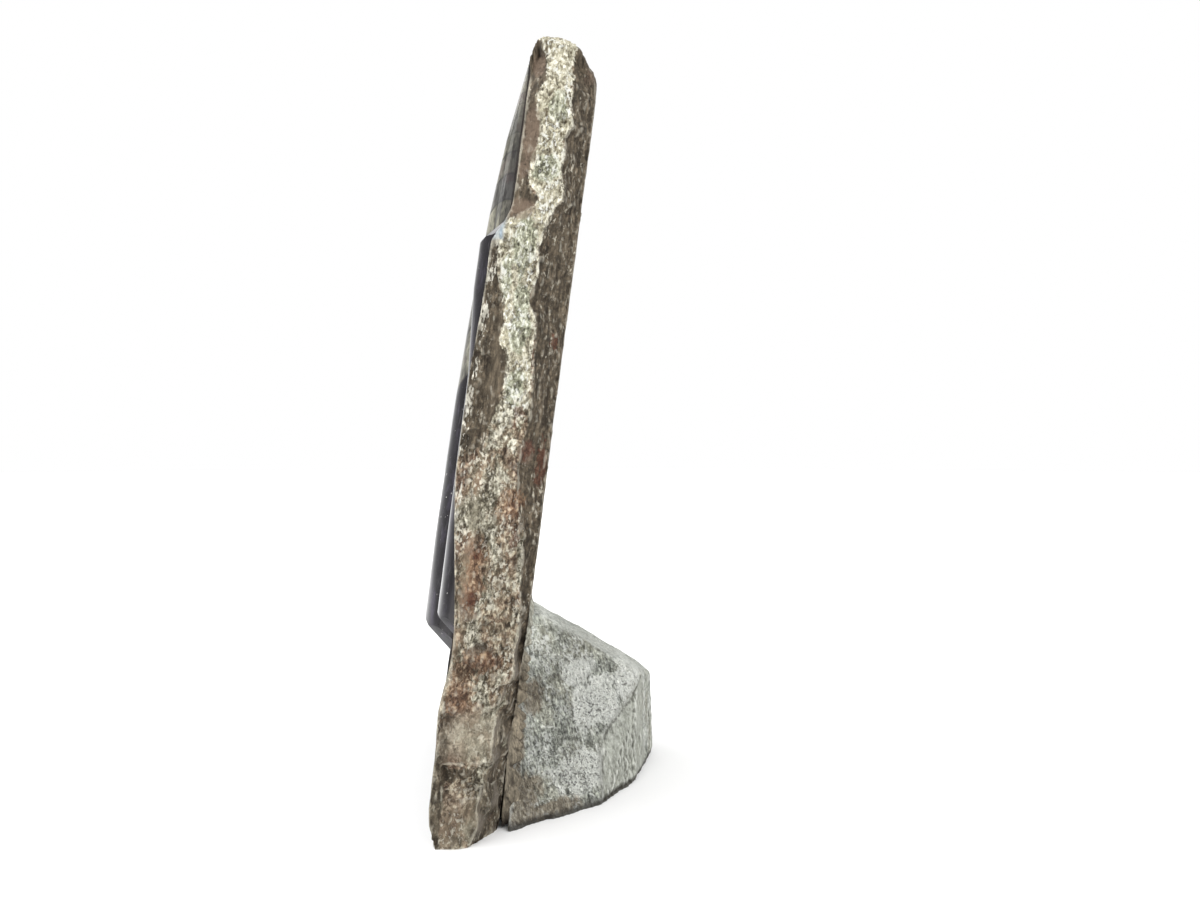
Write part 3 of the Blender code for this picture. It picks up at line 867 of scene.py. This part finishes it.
def near_edge_inset(height, depth):
    """How far in the rock lies behind the line of the near edge."""
    starts = np.interp(height, *table(PALE_VEIN, 1))
    ends = np.interp(height, *table(RIDGE))
    back = np.interp(height, *table(BACK_BEVEL))
    share = np.clip((depth - ends) / (THICKNESS - ends), 0, 1)
    inset = back * share ** 1.1
    inset += VEIN_STEP * MM * smooth(0, 1.2 * MM, depth - ends) * smooth(0, 0.35, 1 - share)
    inset += 0.14 * np.maximum(starts - depth, 0)
    for middle, half, deep in EDGE_HOLLOWS:
        away = np.clip(np.abs(height - middle * MM) / (half * MM), 0, 1)
        inset += deep * MM * (1 - away ** 2) * smooth(-1 * MM, 3 * MM, depth)
    return inset


def work_near_edge(piece):
    """Gives the near edge its vein, the slope behind it, the scoop and the notch."""
    places, normals = places_of(piece), normals_of(piece)
    _, _, depth = slab_coordinates(places)
    low = smooth(110 * MM, 60 * MM, places[:, 2])
    height = places[:, 2] + low * 0.45 * MM * waves(places, 14 * MM, 3)
    depth = depth + (0.4 + low) * 0.7 * MM * waves(places, 13 * MM, 5)
    line = np.interp(height, *table(EDGE_LINE)) - near_edge_inset(height, depth)
    line -= (0.3 + low) * 0.5 * MM * (1 + waves(places, 9 * MM, 8))
    share = smooth(0.15, 0.5, normals[:, 0]) * smooth(252 * MM, 232 * MM, places[:, 2])
    share *= places[:, 0] > 50 * MM
    places[:, 0] += share * (line - places[:, 0])
    put_places(piece, places)


def work_near_top(piece):
    """Breaks the near end of the top off along the line that the camera sees."""
    places, normals = places_of(piece), normals_of(piece)
    _, _, depth = slab_coordinates(places)
    eye_x, _, eye_height = CAMERA_PLACE
    scale = (eye_x - places[:, 0]) / (eye_x - NEAR_PLANE)
    seen = eye_height + (places[:, 2] - eye_height) / scale
    line = np.interp(depth, *table(TOP_LINE))
    high = eye_height + (line - eye_height) * scale
    near = smooth(34 * MM, 60 * MM, places[:, 0])
    above = seen > line
    just_below = (seen > line - 6 * MM) & (normals[:, 2] > 0.12)
    share = near * np.where(above, 1.0, 0.9 * just_below)
    places[:, 2] += share * (high - places[:, 2])
    put_places(piece, places)


def close_pockets(piece):
    """Fills the seats of the fossils, which are hidden, up to just under the front."""
    plugs = []
    for name in [node for node in frame["nodes"] if node.startswith("orthoceras")]:
        plug = copy_of(name, name + "_plug")
        edit(plug)
        bpy.ops.transform.shrink_fatten(value=0.8 * MM)
        bpy.ops.mesh.bisect(plane_co=in_slab(0, 0, -0.5 * MM), plane_no=in_slab(0, 0, 1)
                            - in_slab(0, 0, 0), use_fill=True, clear_outer=True)
        leave()
        plugs.append(plug)
    select_only(piece)
    for plug in plugs:
        plug.select_set(True)
    bpy.ops.object.join()


def patches(rows, height, depth):
    """1 in the middle of each patch of a table, 0.5 at its border, and 0 well outside."""
    strength = np.zeros(len(height))
    for middle, deep, tall, wide in rows:
        away = np.hypot((height - middle * MM) / (tall * MM), (depth - deep * MM) / (wide * MM))
        strength = np.maximum(strength, np.clip(1.5 - away, 0, 1))
    return strength


def nearness_to_fossils(across, up, reach):
    """1 beside a fossil's flank and 0 beyond the reach, over the front."""
    nearness = np.zeros(len(across))
    for start, end, start_half, end_half, _ in FOSSILS.values():
        start, end = Vector(start) * MM, Vector(end) * MM
        axis = (end - start).normalized()
        length_along = (end - start).length
        along = (across - start.x) * axis.x + (up - start.y) * axis.y
        aside = np.abs((up - start.y) * axis.x - (across - start.x) * axis.y)
        share = np.clip(along / length_along, 0, 1)
        half = (start_half + (end_half - start_half) * share) * MM
        past = np.maximum(np.maximum(-along, along - length_along), 0)
        nearness = np.maximum(nearness, smooth(reach, 0, np.hypot(np.maximum(aside - half, 0),
                                                                 past)))
    return nearness


def mark_slab(piece):
    """Where the vein, the dark rock, stains, chips and tooled faces are, and painted shade and
    light.
    """
    places, normals = places_of(piece), normals_of(piece)
    across, up, depth = slab_coordinates(places)
    height = places[:, 2]
    near = smooth(30 * MM, 45 * MM, across)
    out = -normals[:, 1] * math.cos(LEAN) + normals[:, 2] * math.sin(LEAN)
    front = smooth(0.80, 0.93, out) * smooth(70 * MM, 67 * MM, across)
    arris = smooth(0.55, 0.8, out) * smooth(66 * MM, 64 * MM, across)
    arris *= smooth(1.5 * MM, 0.8 * MM, depth)
    front = np.maximum(front, arris * (1 - near * smooth(240 * MM, 248 * MM, height)))
    sawn = smooth(0.85, 0.95, -out)
    starts = np.interp(height, *table(PALE_VEIN, 1))
    ends = np.interp(height, *table(PALE_VEIN, 2))
    inside = np.minimum(depth - starts, ends - depth) / (2.4 * MM)
    strength = np.interp(height, table(VEIN_SHOWS)[0], [row[1] for row in VEIN_SHOWS])
    vein = np.clip(0.5 + 0.5 * inside, 0, 1) * strength
    ridge = np.interp(height, *table(RIDGE))
    dark = np.clip(0.5 + (depth - ridge) / (2.4 * MM), 0, 1)
    dark *= 1 - 0.35 * smooth(66 * MM, 50 * MM, height)
    left = np.clip(0.5 + (starts - depth) / (2.4 * MM), 0, 1)
    dark = np.maximum(dark, left * smooth(118 * MM, 136 * MM, height) * 0.8)
    dark = np.maximum(dark, smooth(4.5 * MM, 2 * MM, depth) * smooth(40 * MM, 25 * MM, height))
    dark = np.maximum(dark, 0.42 * smooth(20 * MM, 16 * MM, height))
    # Painted shade in the notch under its lip, in the colour of the dark rock
    dark = np.maximum(dark, 0.8 * patches(NOTCH_SHADE, height, depth))
    edge_of_polish = -np.interp(up, *table(RIM))
    chips = smooth(4.2 * MM, 1.5 * MM, depth - edge_of_polish) * (across > 62 * MM)
    chips *= smooth(80 * MM, 98 * MM, height) * smooth(204 * MM, 198 * MM, height)
    # Painted reflection: the slope above the near fossil takes the colour of the sky it would
    # reflect
    sheen = smooth(-1.0 * MM, -2.6 * MM, depth) * (across > 56 * MM)
    sheen *= smooth(197 * MM, 198.4 * MM, height) * smooth(207 * MM, 205 * MM, height)
    # Painted shade in hollows and painted highlights on proud parts, weaker at the near top corner
    hollow = hollow_mark(piece, 0.22 * MM)
    hollow *= 1 - 0.8 * near * smooth(252 * MM, 256 * MM, height)
    stains = {name: patches(rows, height, depth) * near for name, rows in PATCHES.items()}
    stains["cool"] += COOL_ELSEWHERE * (1 - near)
    mark(piece, vein=vein, dark=dark, chips=chips * 0.62, sheen=sheen, front=front, sawn=sawn,
         bruise=nearness_to_fossils(across, up, 9 * MM) * (depth < 3 * MM), hollow=hollow, **stains)


class PLAQUE_OT_slab(bpy.types.Operator):
    """Work the slab: broken edges with their vein and hollows, tooled front and sawn back"""

    bl_idname = "plaque.slab"
    bl_label = "Work the Slab"

    def execute(self, context):
        settings = context.scene.plaque_slab
        slab = copy_of("slab", "slab_rock")
        close_pockets(slab)
        refine(slab, settings.grid)
        work_near_edge(slab)
        work_near_top(slab)
        places, normals = places_of(slab), normals_of(slab)
        height = places[:, 2]
        out = np.abs(normals[:, 1] * math.cos(LEAN) - normals[:, 2] * math.sin(LEAN))
        broken = smooth(0.93, 0.75, out) * smooth(0.2 * MM, 2.5 * MM, height)
        broken *= 1 - 0.65 * patches(PATCHES["smooth"], height, slab_coordinates(places)[2])
        weigh(slab, "broken", broken)
        weigh(slab, "faces", smooth(0.8, 0.95, out))
        along = grain_guide("along", 2.4)
        relief(slab, pattern("lumps", "CLOUDS", 7 * MM, noise_depth=4), settings.lump * 2,
               "broken", 0.55)
        relief(slab, pattern("flakes", "VORONOI", 4.5 * MM), settings.crystal, "broken", 0.4,
               along)
        relief(slab, pattern("crystals", "CLOUDS", 1.9 * MM, noise_depth=1,
                             noise_type="HARD_NOISE"), settings.crystal * 1.2, "broken", 0.5,
               along)
        relief(slab, pattern("tooling", "CLOUDS", 3 * MM, noise_depth=2), settings.chisel,
               "faces", 0.5, along)
        bpy.data.objects.remove(along)
        slab.vertex_groups.clear()
        thin(slab, MOST_FACES["slab"])
        drop_crumbs(slab)
        keep_inside(slab, "slab")
        mark_slab(slab)
        shade_round(slab, 42)
        rock = limestone(settings)
        finish_piece(slab, rock, "limestone", "slab")
        give_front(slab, matt_front(rock))
        return {"FINISHED"}


# Fossils, in the plane of the slab's front (mm): axis from start to end (across, up), half
# widths there, and the crest's height above the slab at shares of the length
FOSSILS = {
    "orthoceras_long": ((17, 280), (3, 54), 1.6, 18, (
        (0, 0.6), (0.13, 5.0), (0.26, 7.8), (0.41, 9.9), (0.58, 11.4), (0.82, 12.2), (1, 11.9))),
    "orthoceras_edge": ((64.6, 208.6), (61.4, 69.5), 7.6, 11.4, (
        (0, 9.3), (0.18, 9.4), (0.38, 7.4), (1, 6.9))),
    "orthoceras_left": ((-54, 228), (-36, 70), 1.2, 13, (
        (0, 0.6), (0.15, 3), (0.4, 6), (0.7, 7.6), (1, 8))),
    "orthoceras_small": ((-59, 150), (-64.5, 76), 0.9, 7.4, (
        (0, 0.5), (0.25, 2.4), (0.6, 4.2), (1, 4.8))),
}

# Share of the crests' height that is kept, how deep (mm) the shells reach into their seats, how
# square they are across, how many faces go round them and how long each ring is (mm)
CREST_SHARE = 0.978
SEAT = 2.8
SQUARENESS = 2.4
AROUND = 72
RING_STEP = 2.5

# Shells that start this wide are cut at both ends, and their shoulder is cut off slanting at
# this distance from the start and above the slab
WIDE_START = 4 * MM
SHOULDER_IN = 6 * MM
SHOULDER_OUT = 6.3 * MM
SHOULDER_LEAN = 2.6

# Cut ends: how far each cut plane stands above the slab, and for the cuts at the corners where
# they start across, how far they turn to the side and how far they lean
CUT_OUT = 0.5 * MM
CORNER_AT = 0.62
CORNER_TURN = 0.9
CORNER_LEAN = 0.95

# Polish of each fossil: how far its start is from the apex, the apex's distance to the first
# wall, how the chambers shrink, where the body chamber starts, and how pale the chambers get
FINISHES = {
    "orthoceras_long": (14 * MM, 143 * MM, 0.846, 129 * MM, 0.6),
    "orthoceras_edge": (120 * MM, 140 * MM, 0.90, -40 * MM, 0.3),
    "orthoceras_left": (14 * MM, 120 * MM, 0.88, 104 * MM, 0.9),
    "orthoceras_small": (8 * MM, 70 * MM, 0.86, 52 * MM, 1.0),
}


def shell_form(name):
    """A tapering shell, rounded across, as a solid that reaches into its seat."""
    start, end, start_half, end_half, crest = FOSSILS[name]
    start, end = Vector(start) * MM, Vector(end) * MM
    axis = (end - start).normalized()
    side = Vector((-axis.y, axis.x))
    reach = (end - start).length
    rings = round(reach / (RING_STEP * MM))
    bpy.ops.object.select_all(action="DESELECT")
    bpy.ops.mesh.primitive_cylinder_add(vertices=AROUND, radius=1, depth=1)
    piece = bpy.context.object
    piece.name = name + "_shell"
    edit(piece, "DESELECT")
    form = bmesh.from_edit_mesh(piece.data)
    for edge in form.edges:
        edge.select = abs(edge.verts[0].co.z - edge.verts[1].co.z) > 0.5
    bmesh.update_edit_mesh(piece.data)
    bpy.ops.mesh.subdivide(number_cuts=rings - 1)
    leave()
    places = places_of(piece)
    turn = np.arctan2(places[:, 1], places[:, 0])
    share = places[:, 2] + 0.5
    half = (start_half + (end_half - start_half) * share) * MM
    tall = np.interp(share, *zip(*crest)) * CREST_SHARE * MM
    flat = np.sign(np.cos(turn)) * np.abs(np.cos(turn)) ** (2 / SQUARENESS)
    high = np.abs(np.sin(turn)) ** (2 / SQUARENESS) * np.sign(np.sin(turn))
    across = flat * half
    out = np.where(high >= 0, high * tall, np.maximum(high * 4, -1) * SEAT * MM)
    middle_x = start.x + axis.x * share * reach
    middle_up = start.y + axis.y * share * reach
    x, up = middle_x + side.x * across, middle_up + side.y * across
    world = np.stack([x, FRONT_AT_GROUND + up * math.sin(LEAN) - out * math.cos(LEAN),
                      up * math.cos(LEAN) + out * math.sin(LEAN)], 1)
    put_places(piece, world)
    return piece, start, end, axis, side, reach, end_half * MM, start_half * MM


def cut_away(piece, across_up, out, facing):
    """Takes off what lies past a plane, given in the slab's front, and closes the cut."""
    normal = in_slab(*facing) - in_slab(0, 0, 0)
    edit(piece)
    bpy.ops.mesh.bisect(plane_co=in_slab(*across_up, out), plane_no=normal, use_fill=True,
                        clear_outer=True)
    leave()


def shell_mesh(name):
    """A shell with its cut ends, softened arrises and hand polish."""
    piece, start, end, axis, side, reach, end_half, start_half = shell_form(name)
    ends = [(end, axis, end_half)]
    if start_half > WIDE_START:
        ends.append((start, -axis, start_half))
    for tip, away, half in ends:
        cut_away(piece, tip, CUT_OUT, (away.x, away.y, 1.0))
        for hand in (-1, 1):
            corner = tip + side * hand * half * CORNER_AT
            slant = away + side * hand * CORNER_TURN
            cut_away(piece, corner, CUT_OUT, (slant.x, slant.y, CORNER_LEAN))
    if start_half > WIDE_START:
        cut_away(piece, start + axis * SHOULDER_IN, SHOULDER_OUT,
                 (-axis.x, -axis.y, SHOULDER_LEAN))
    edit(piece)
    bpy.ops.mesh.normals_make_consistent(inside=False)
    leave()
    apply(piece, "BEVEL", width=0.7 * MM, segments=3, limit_method="ANGLE",
          angle_limit=math.radians(24))
    relief(piece, pattern("hand polish", "CLOUDS", 15 * MM), 0.3 * MM, level=0.9)
    across, up, _ = slab_coordinates(places_of(piece))
    along = (across - start.x) * axis.x + (up - start.y) * axis.y
    aside = (across - start.x) * side.x + (up - start.y) * side.y
    half = start_half + (end_half - start_half) * np.clip(along / reach, 0, 1)
    mark(piece, along=along, aside=aside / half)
    shade_round(piece, 35)
    return piece


def polished(name, settings, apex, chamber, shrink, living, tones):
    """Polished calcite cut through its chambers, and the black body chamber past them."""
    material, board, shader, place = new_material(name.replace("_", " ").title())
    along, aside = board.attribute("along"), board.attribute("aside")
    bowed = (along + apex) * (1.0 + aside * aside * 0.10)
    bowed = bowed + board.noise(place, 6 * MM, 2.0).swing(1.6 * MM)
    count = board.math("LOGARITHM", bowed / chamber, math.e) / math.log(shrink)
    part = board.math("FRACT", count)
    near = board.math("MINIMUM", part, 1.0 - part)
    which = board.value("Value", "ShaderNodeTexWhiteNoise", {"W": board.math("FLOOR", count)},
                        noise_dimensions="1D")
    cloud = board.noise(board.along_slab(place, 2.5), 5 * MM, 6.0, 0.65, 0.6)
    smoke = board.noise(place, 11 * MM, 5.0, 0.6, 1.2)
    drawn = board.noise(board.along_slab(place, 9.0), 0.9 * MM, 4.0, 0.6)
    flank = abs(aside).fade(0.35, 0.8)
    tube = abs(aside - 0.06) - near * 0.05
    shell, body = settings.shell, settings.body
    calcite = board.coats(
        shell,
        (which * tones, settings.cream),
        (cloud.fade(0.40, 0.64, 0.0, 0.75), shade(shell, 0.22)),
        (smoke.fade(0.55, 0.72, 0.6), srgb(84, 66, 66)),
        (drawn.fade(0.50, 0.36) * (0.3 + flank) * 0.6, srgb(38, 36, 36)),
        (near.fade(0.075, 0.03) * (1.0 - flank * 0.6) * 0.85, srgb(34, 32, 32)),
        (tube.fade(0.10, 0.065) * tube.fade(0.02, 0.055) * 0.8, srgb(40, 37, 36)),
    )
    wisps = board.noise(board.along_slab(place, 7.0), 2.2 * MM, 6.0, 0.66, 0.6)
    dots = board.noise(place, 1.6 * MM, 2.0, 0.5).fade(0.70, 0.74) * smoke.fade(0.50, 0.60)
    night = board.coats(
        board.ramp(cloud, (0.32, shade(body, 0.45)), (0.52, body), (0.72, srgb(62, 58, 70))),
        (wisps.fade(0.56, 0.74, 0.5), srgb(92, 90, 94)),
        (dots * 0.8, srgb(196, 194, 190)),
    )
    last = bowed.fade(living + apex - 0.5 * MM, living + apex + 0.5 * MM)
    rind = abs(aside).fade(0.90, 0.99)
    gloss = settings.gloss
    board.feed(shader, {
        "Base Color": board.coats(calcite, (last, night), (rind * 0.5, srgb(72, 70, 70))),
        "Roughness": board.noise(place, 2 * MM, 5.0, 0.7).fade(0.3, 0.8, gloss * 1.7, gloss * 0.6),
        "IOR": 1.52,
        "Specular IOR Level": 0.28,
    })
    return material


class PLAQUE_OT_fossils(bpy.types.Operator):
    """Shape and polish the four fossils"""

    bl_idname = "plaque.fossils"
    bl_label = "Polish the Fossils"

    def execute(self, context):
        settings = context.scene.plaque_fossils
        for name, values in FINISHES.items():
            piece = shell_mesh(name)
            finish_piece(piece, polished(name, settings, *values), "polished_fossil", name)
        return {"FINISHED"}


def past_border(height, depth):
    """How far behind the border of the rear facet a place on the foot lies."""
    return depth - np.interp(height, *table(FACET_BORDER))


def cut_rear_facet(foot):
    """Sets the rear facet of the near side back from the rest by a low step."""
    places, normals = places_of(foot), normals_of(foot)
    across, _, depth = slab_coordinates(places)
    past = past_border(places[:, 2], depth - THICKNESS) + 0.5 * MM * waves(places, 9 * MM, 21)
    share = smooth(0, 2.0 * MM, past) * smooth(0.4, 0.65, normals[:, 0]) * (across > 0)
    put_places(foot, places - normals * (share * FACET_STEP * MM)[:, None])


def wear_footing(foot):
    """Draws the lowest edge in by a changing measure, as broken stone meets the ground."""
    places = places_of(foot)
    low = smooth(3.6 * MM, 0.4 * MM, places[:, 2])
    shrink = low * (0.022 + 0.014 * waves(places, 13 * MM, 27))
    middle = (places.min(0) + places.max(0)) / 2
    for axis in (0, 1):
        places[:, axis] -= (places[:, axis] - middle[axis]) * shrink
    put_places(foot, places)


def mark_foot(foot):
    """Where the foot is chalky, specked, sawn or earthy, with painted light on its slopes and
    painted shade near the ground.
    """
    places = places_of(foot)
    across, _, depth = slab_coordinates(places)
    depth = depth - THICKNESS
    height = places[:, 2]
    near = smooth(0, 30 * MM, across)
    past = past_border(height, depth)
    facet = smooth(0, 1.2 * MM, past) * (across > 0)
    earth = np.maximum(smooth(9 * MM, 3 * MM, depth) * 0.62,
                       patches(FOOT_EARTH, height, depth) * near)
    sawn = np.maximum(patches(FOOT_SAWN, height, depth), smooth(20 * MM, 0, across) * 0.5)
    # Up-facing slopes, that are given painted light
    level = smooth(0.72, 0.84, normals_of(foot)[:, 2])
    mark(foot, earth=earth, facet=facet, sawn=np.maximum(sawn, facet),
         arris=smooth(1.4 * MM, 0.5 * MM, np.abs(past)) * (across > 0),
         chalk=0.12 + 0.75 * patches(FOOT_CHALK, height, depth),
         specks=0.2 + 0.45 * patches(FOOT_SPECKS, height, depth) * near,
         # painted light on up-facing slopes, painted contact shade near the ground, hollows for
         # painted shade
         slope=level * smooth(6 * MM, 12 * MM, depth),
         ground=smooth(3.0 * MM, 1.2 * MM, height), hollow=hollow_mark(foot, 0.15 * MM))


class PLAQUE_OT_foot(bpy.types.Operator):
    """Work the foot: sawn facets, crushed edges and pits"""

    bl_idname = "plaque.foot"
    bl_label = "Work the Foot"

    def execute(self, context):
        settings = context.scene.plaque_foot
        foot = copy_of("foot", "foot_stone")
        refine(foot, settings.grid)
        places = places_of(foot)
        behind = slab_coordinates(places)[2] - THICKNESS
        free = smooth(0.2 * MM, 2 * MM, places[:, 2]) * smooth(3 * MM, 6 * MM, behind)
        weigh(foot, "free", free)
        relief(foot, pattern("foot lumps", "CLOUDS", 7 * MM, noise_depth=4), settings.lump * 2,
               "free", 0.55)
        relief(foot, pattern("foot grit", "VORONOI", 2.0 * MM), settings.lump * 0.6, "free", 0.4)
        foot.vertex_groups.clear()
        cut_rear_facet(foot)
        wear_footing(foot)
        thin(foot, MOST_FACES["foot"])
        keep_inside(foot, "foot")
        mark_foot(foot)
        shade_round(foot, 45)
        finish_piece(foot, grey_stone(settings), "grey_stone", "foot")
        return {"FINISHED"}


def feather(piece):
    """Thins the filler towards its rim, and makes the rim wander as a finger leaves it."""
    places = places_of(piece)
    across, up, depth = slab_coordinates(places)
    foot_across, foot_up, foot_depth = slab_coordinates(places_of(frame["nodes"]["foot"]))
    bedded = np.flatnonzero(foot_depth < THICKNESS + 6 * MM)
    middle = (foot_across[bedded].mean(), foot_up[bedded].mean())
    tree = KDTree(len(bedded))
    for number in bedded:
        tree.insert((foot_across[number], foot_up[number], 0), number)
    tree.balance()
    gap = np.array([tree.find((x, y, 0))[2] for x, y in zip(across, up)])
    inner = np.hypot(across - middle[0], up - middle[1])
    outside = smooth(0.4 * MM, 1.5 * MM, gap) * (depth > THICKNESS)
    share = outside * (1 - SMEAR_END) * smooth(0, SMEAR_REACH, gap)
    share *= 1 - 0.7 * smooth(60 * MM, 68 * MM, places[:, 2])
    fall = -(depth - THICKNESS) * share
    places[:, 1] += fall * math.cos(LEAN)
    places[:, 2] -= fall * math.sin(LEAN)
    push = smooth(1.5 * MM, SMEAR_REACH, gap) * 1.6 * MM * (waves(places, 15 * MM, 12) - 0.4)
    ways = np.stack([across - middle[0], up - middle[1]], 1) / np.maximum(inner, MM)[:, None]
    places[:, 0] += push * ways[:, 0]
    places[:, 1] += push * ways[:, 1] * math.sin(LEAN)
    places[:, 2] += push * ways[:, 1] * math.cos(LEAN)
    put_places(piece, places)


def let_down(piece):
    """Draws the lower edge of the filler down to the ground, column by column."""
    places = places_of(piece)
    column = np.rint(places[:, 0] / MORTAR_COLUMN).astype(int)
    columns = np.unique(column)
    bottoms = [places[column == one, 2].min() for one in columns]
    bottom = np.interp(places[:, 0], columns * MORTAR_COLUMN, bottoms)
    low = smooth(10 * MM, 0, places[:, 2] - bottom)
    places[:, 2] -= low * (bottom - MORTAR_BOTTOM)
    put_places(piece, places)


class PLAQUE_OT_mortar(bpy.types.Operator):
    """Smear the mortar between the slab and the foot"""

    bl_idname = "plaque.mortar"
    bl_label = "Smear the Mortar"

    def execute(self, context):
        settings = context.scene.plaque_foot
        mortar = copy_of("mortar", "mortar_bed")
        refine(mortar, MORTAR_GRID)
        feather(mortar)
        relief(mortar, pattern("smears", "CLOUDS", 5 * MM, noise_depth=4), 1.4 * MM, level=0.6)
        let_down(mortar)
        thin(mortar, MOST_FACES["mortar"])
        keep_inside(mortar, "slab", "foot")
        height = places_of(mortar)[:, 2]
        # hollow and deep carry painted shade: in the filler's hollows, and low down in the crevice
        mark(mortar, hollow=hollow_mark(mortar, 0.15 * MM),
             dusty=smooth(46 * MM, 62 * MM, height), deep=smooth(6 * MM, 2 * MM, height))
        shade_round(mortar, 45)
        finish_piece(mortar, mortar_finish(settings), "mortar", "mortar")
        return {"FINISHED"}


def softbox(name, place, size, power):
    lamp = bpy.data.lights.new(name, "AREA")
    lamp.shape = "RECTANGLE"
    lamp.size, lamp.size_y = size
    lamp.energy = power
    thing = bpy.data.objects.new(name, lamp)
    bpy.context.scene.collection.objects.link(thing)
    thing.location = place
    facing = Vector(LIT_PLACE) - Vector(place)
    thing.rotation_euler = facing.to_track_quat("-Z", "Y").to_euler()


class PLAQUE_OT_stage(bpy.types.Operator):
    """Set the pale floor, the soft light and the camera"""

    bl_idname = "plaque.stage"
    bl_label = "Set the Stage"

    def execute(self, context):
        settings = context.scene.plaque_stage
        scene = context.scene
        bpy.ops.object.select_all(action="DESELECT")
        bpy.ops.mesh.primitive_circle_add(vertices=96, radius=settings.floor_radius,
                                          fill_type="NGON")
        floor = context.object
        floor.name = "floor"
        material, board, shader, place = new_material("Floor")
        # The floor glows more the farther it lies from the middle: painted light
        away = board.value("Value", "ShaderNodeVectorMath", {0: place}, operation="LENGTH")
        board.feed(shader, {
            "Base Color": settings.floor, "Roughness": 0.7, "Emission Strength": 1.0,
            "Emission Color": away.fade(FLOOR_GLOW_STARTS, FLOOR_GLOW_FULL, FLOOR_GLOW),
        })
        floor.data.materials.append(material)

        world = bpy.data.worlds.new("Studio")
        world.use_nodes = True
        sky = world.node_tree.nodes["Background"]
        sky.inputs["Color"].default_value = (1, 1, 1, 1)
        sky.inputs["Strength"].default_value = 1.0
        scene.world = world
        for name, values in LIGHTS.items():
            softbox(name, *values)

        camera = bpy.data.objects.new("camera", bpy.data.cameras.new("camera"))
        scene.collection.objects.link(camera)
        camera.data.lens = settings.lens
        camera.data.sensor_width = 36
        camera.location = CAMERA_PLACE
        camera.rotation_euler = (math.radians(90), 0, CAMERA_YAW)
        scene.camera = camera
        scene.view_settings.view_transform = "Standard"
        return {"FINISHED"}


class PLAQUE_PT_panel(bpy.types.Panel):
    """Steps and settings of the plaque"""

    bl_label = "Orthoceras Plaque"
    bl_idname = "PLAQUE_PT_panel"
    bl_space_type = "VIEW_3D"
    bl_region_type = "UI"
    bl_category = "Plaque"

    def draw(self, context):
        for step in STEPS:
            self.layout.operator(step.bl_idname)
        for group in GROUPS:
            box = self.layout.box()
            settings = getattr(context.scene, group)
            for key in type(settings).__annotations__:
                box.prop(settings, key)


STEPS = (PLAQUE_OT_slab, PLAQUE_OT_fossils, PLAQUE_OT_foot, PLAQUE_OT_mortar, PLAQUE_OT_stage)
GROUPS = {
    "plaque_slab": SlabSettings,
    "plaque_fossils": FossilSettings,
    "plaque_foot": FootSettings,
    "plaque_stage": StageSettings,
}
CLASSES = (*GROUPS.values(), *STEPS, PLAQUE_PT_panel)


def register():
    for kind in CLASSES:
        bpy.utils.register_class(kind)
    for name, group in GROUPS.items():
        setattr(bpy.types.Scene, name, PointerProperty(type=group))


def unregister():
    for name in GROUPS:
        delattr(bpy.types.Scene, name)
    for kind in reversed(CLASSES):
        bpy.utils.unregister_class(kind)


def main():
    register()
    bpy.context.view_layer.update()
    for step in STEPS:
        getattr(bpy.ops.plaque, step.bl_idname.partition(".")[2])()


if __name__ == "__main__":
    main()
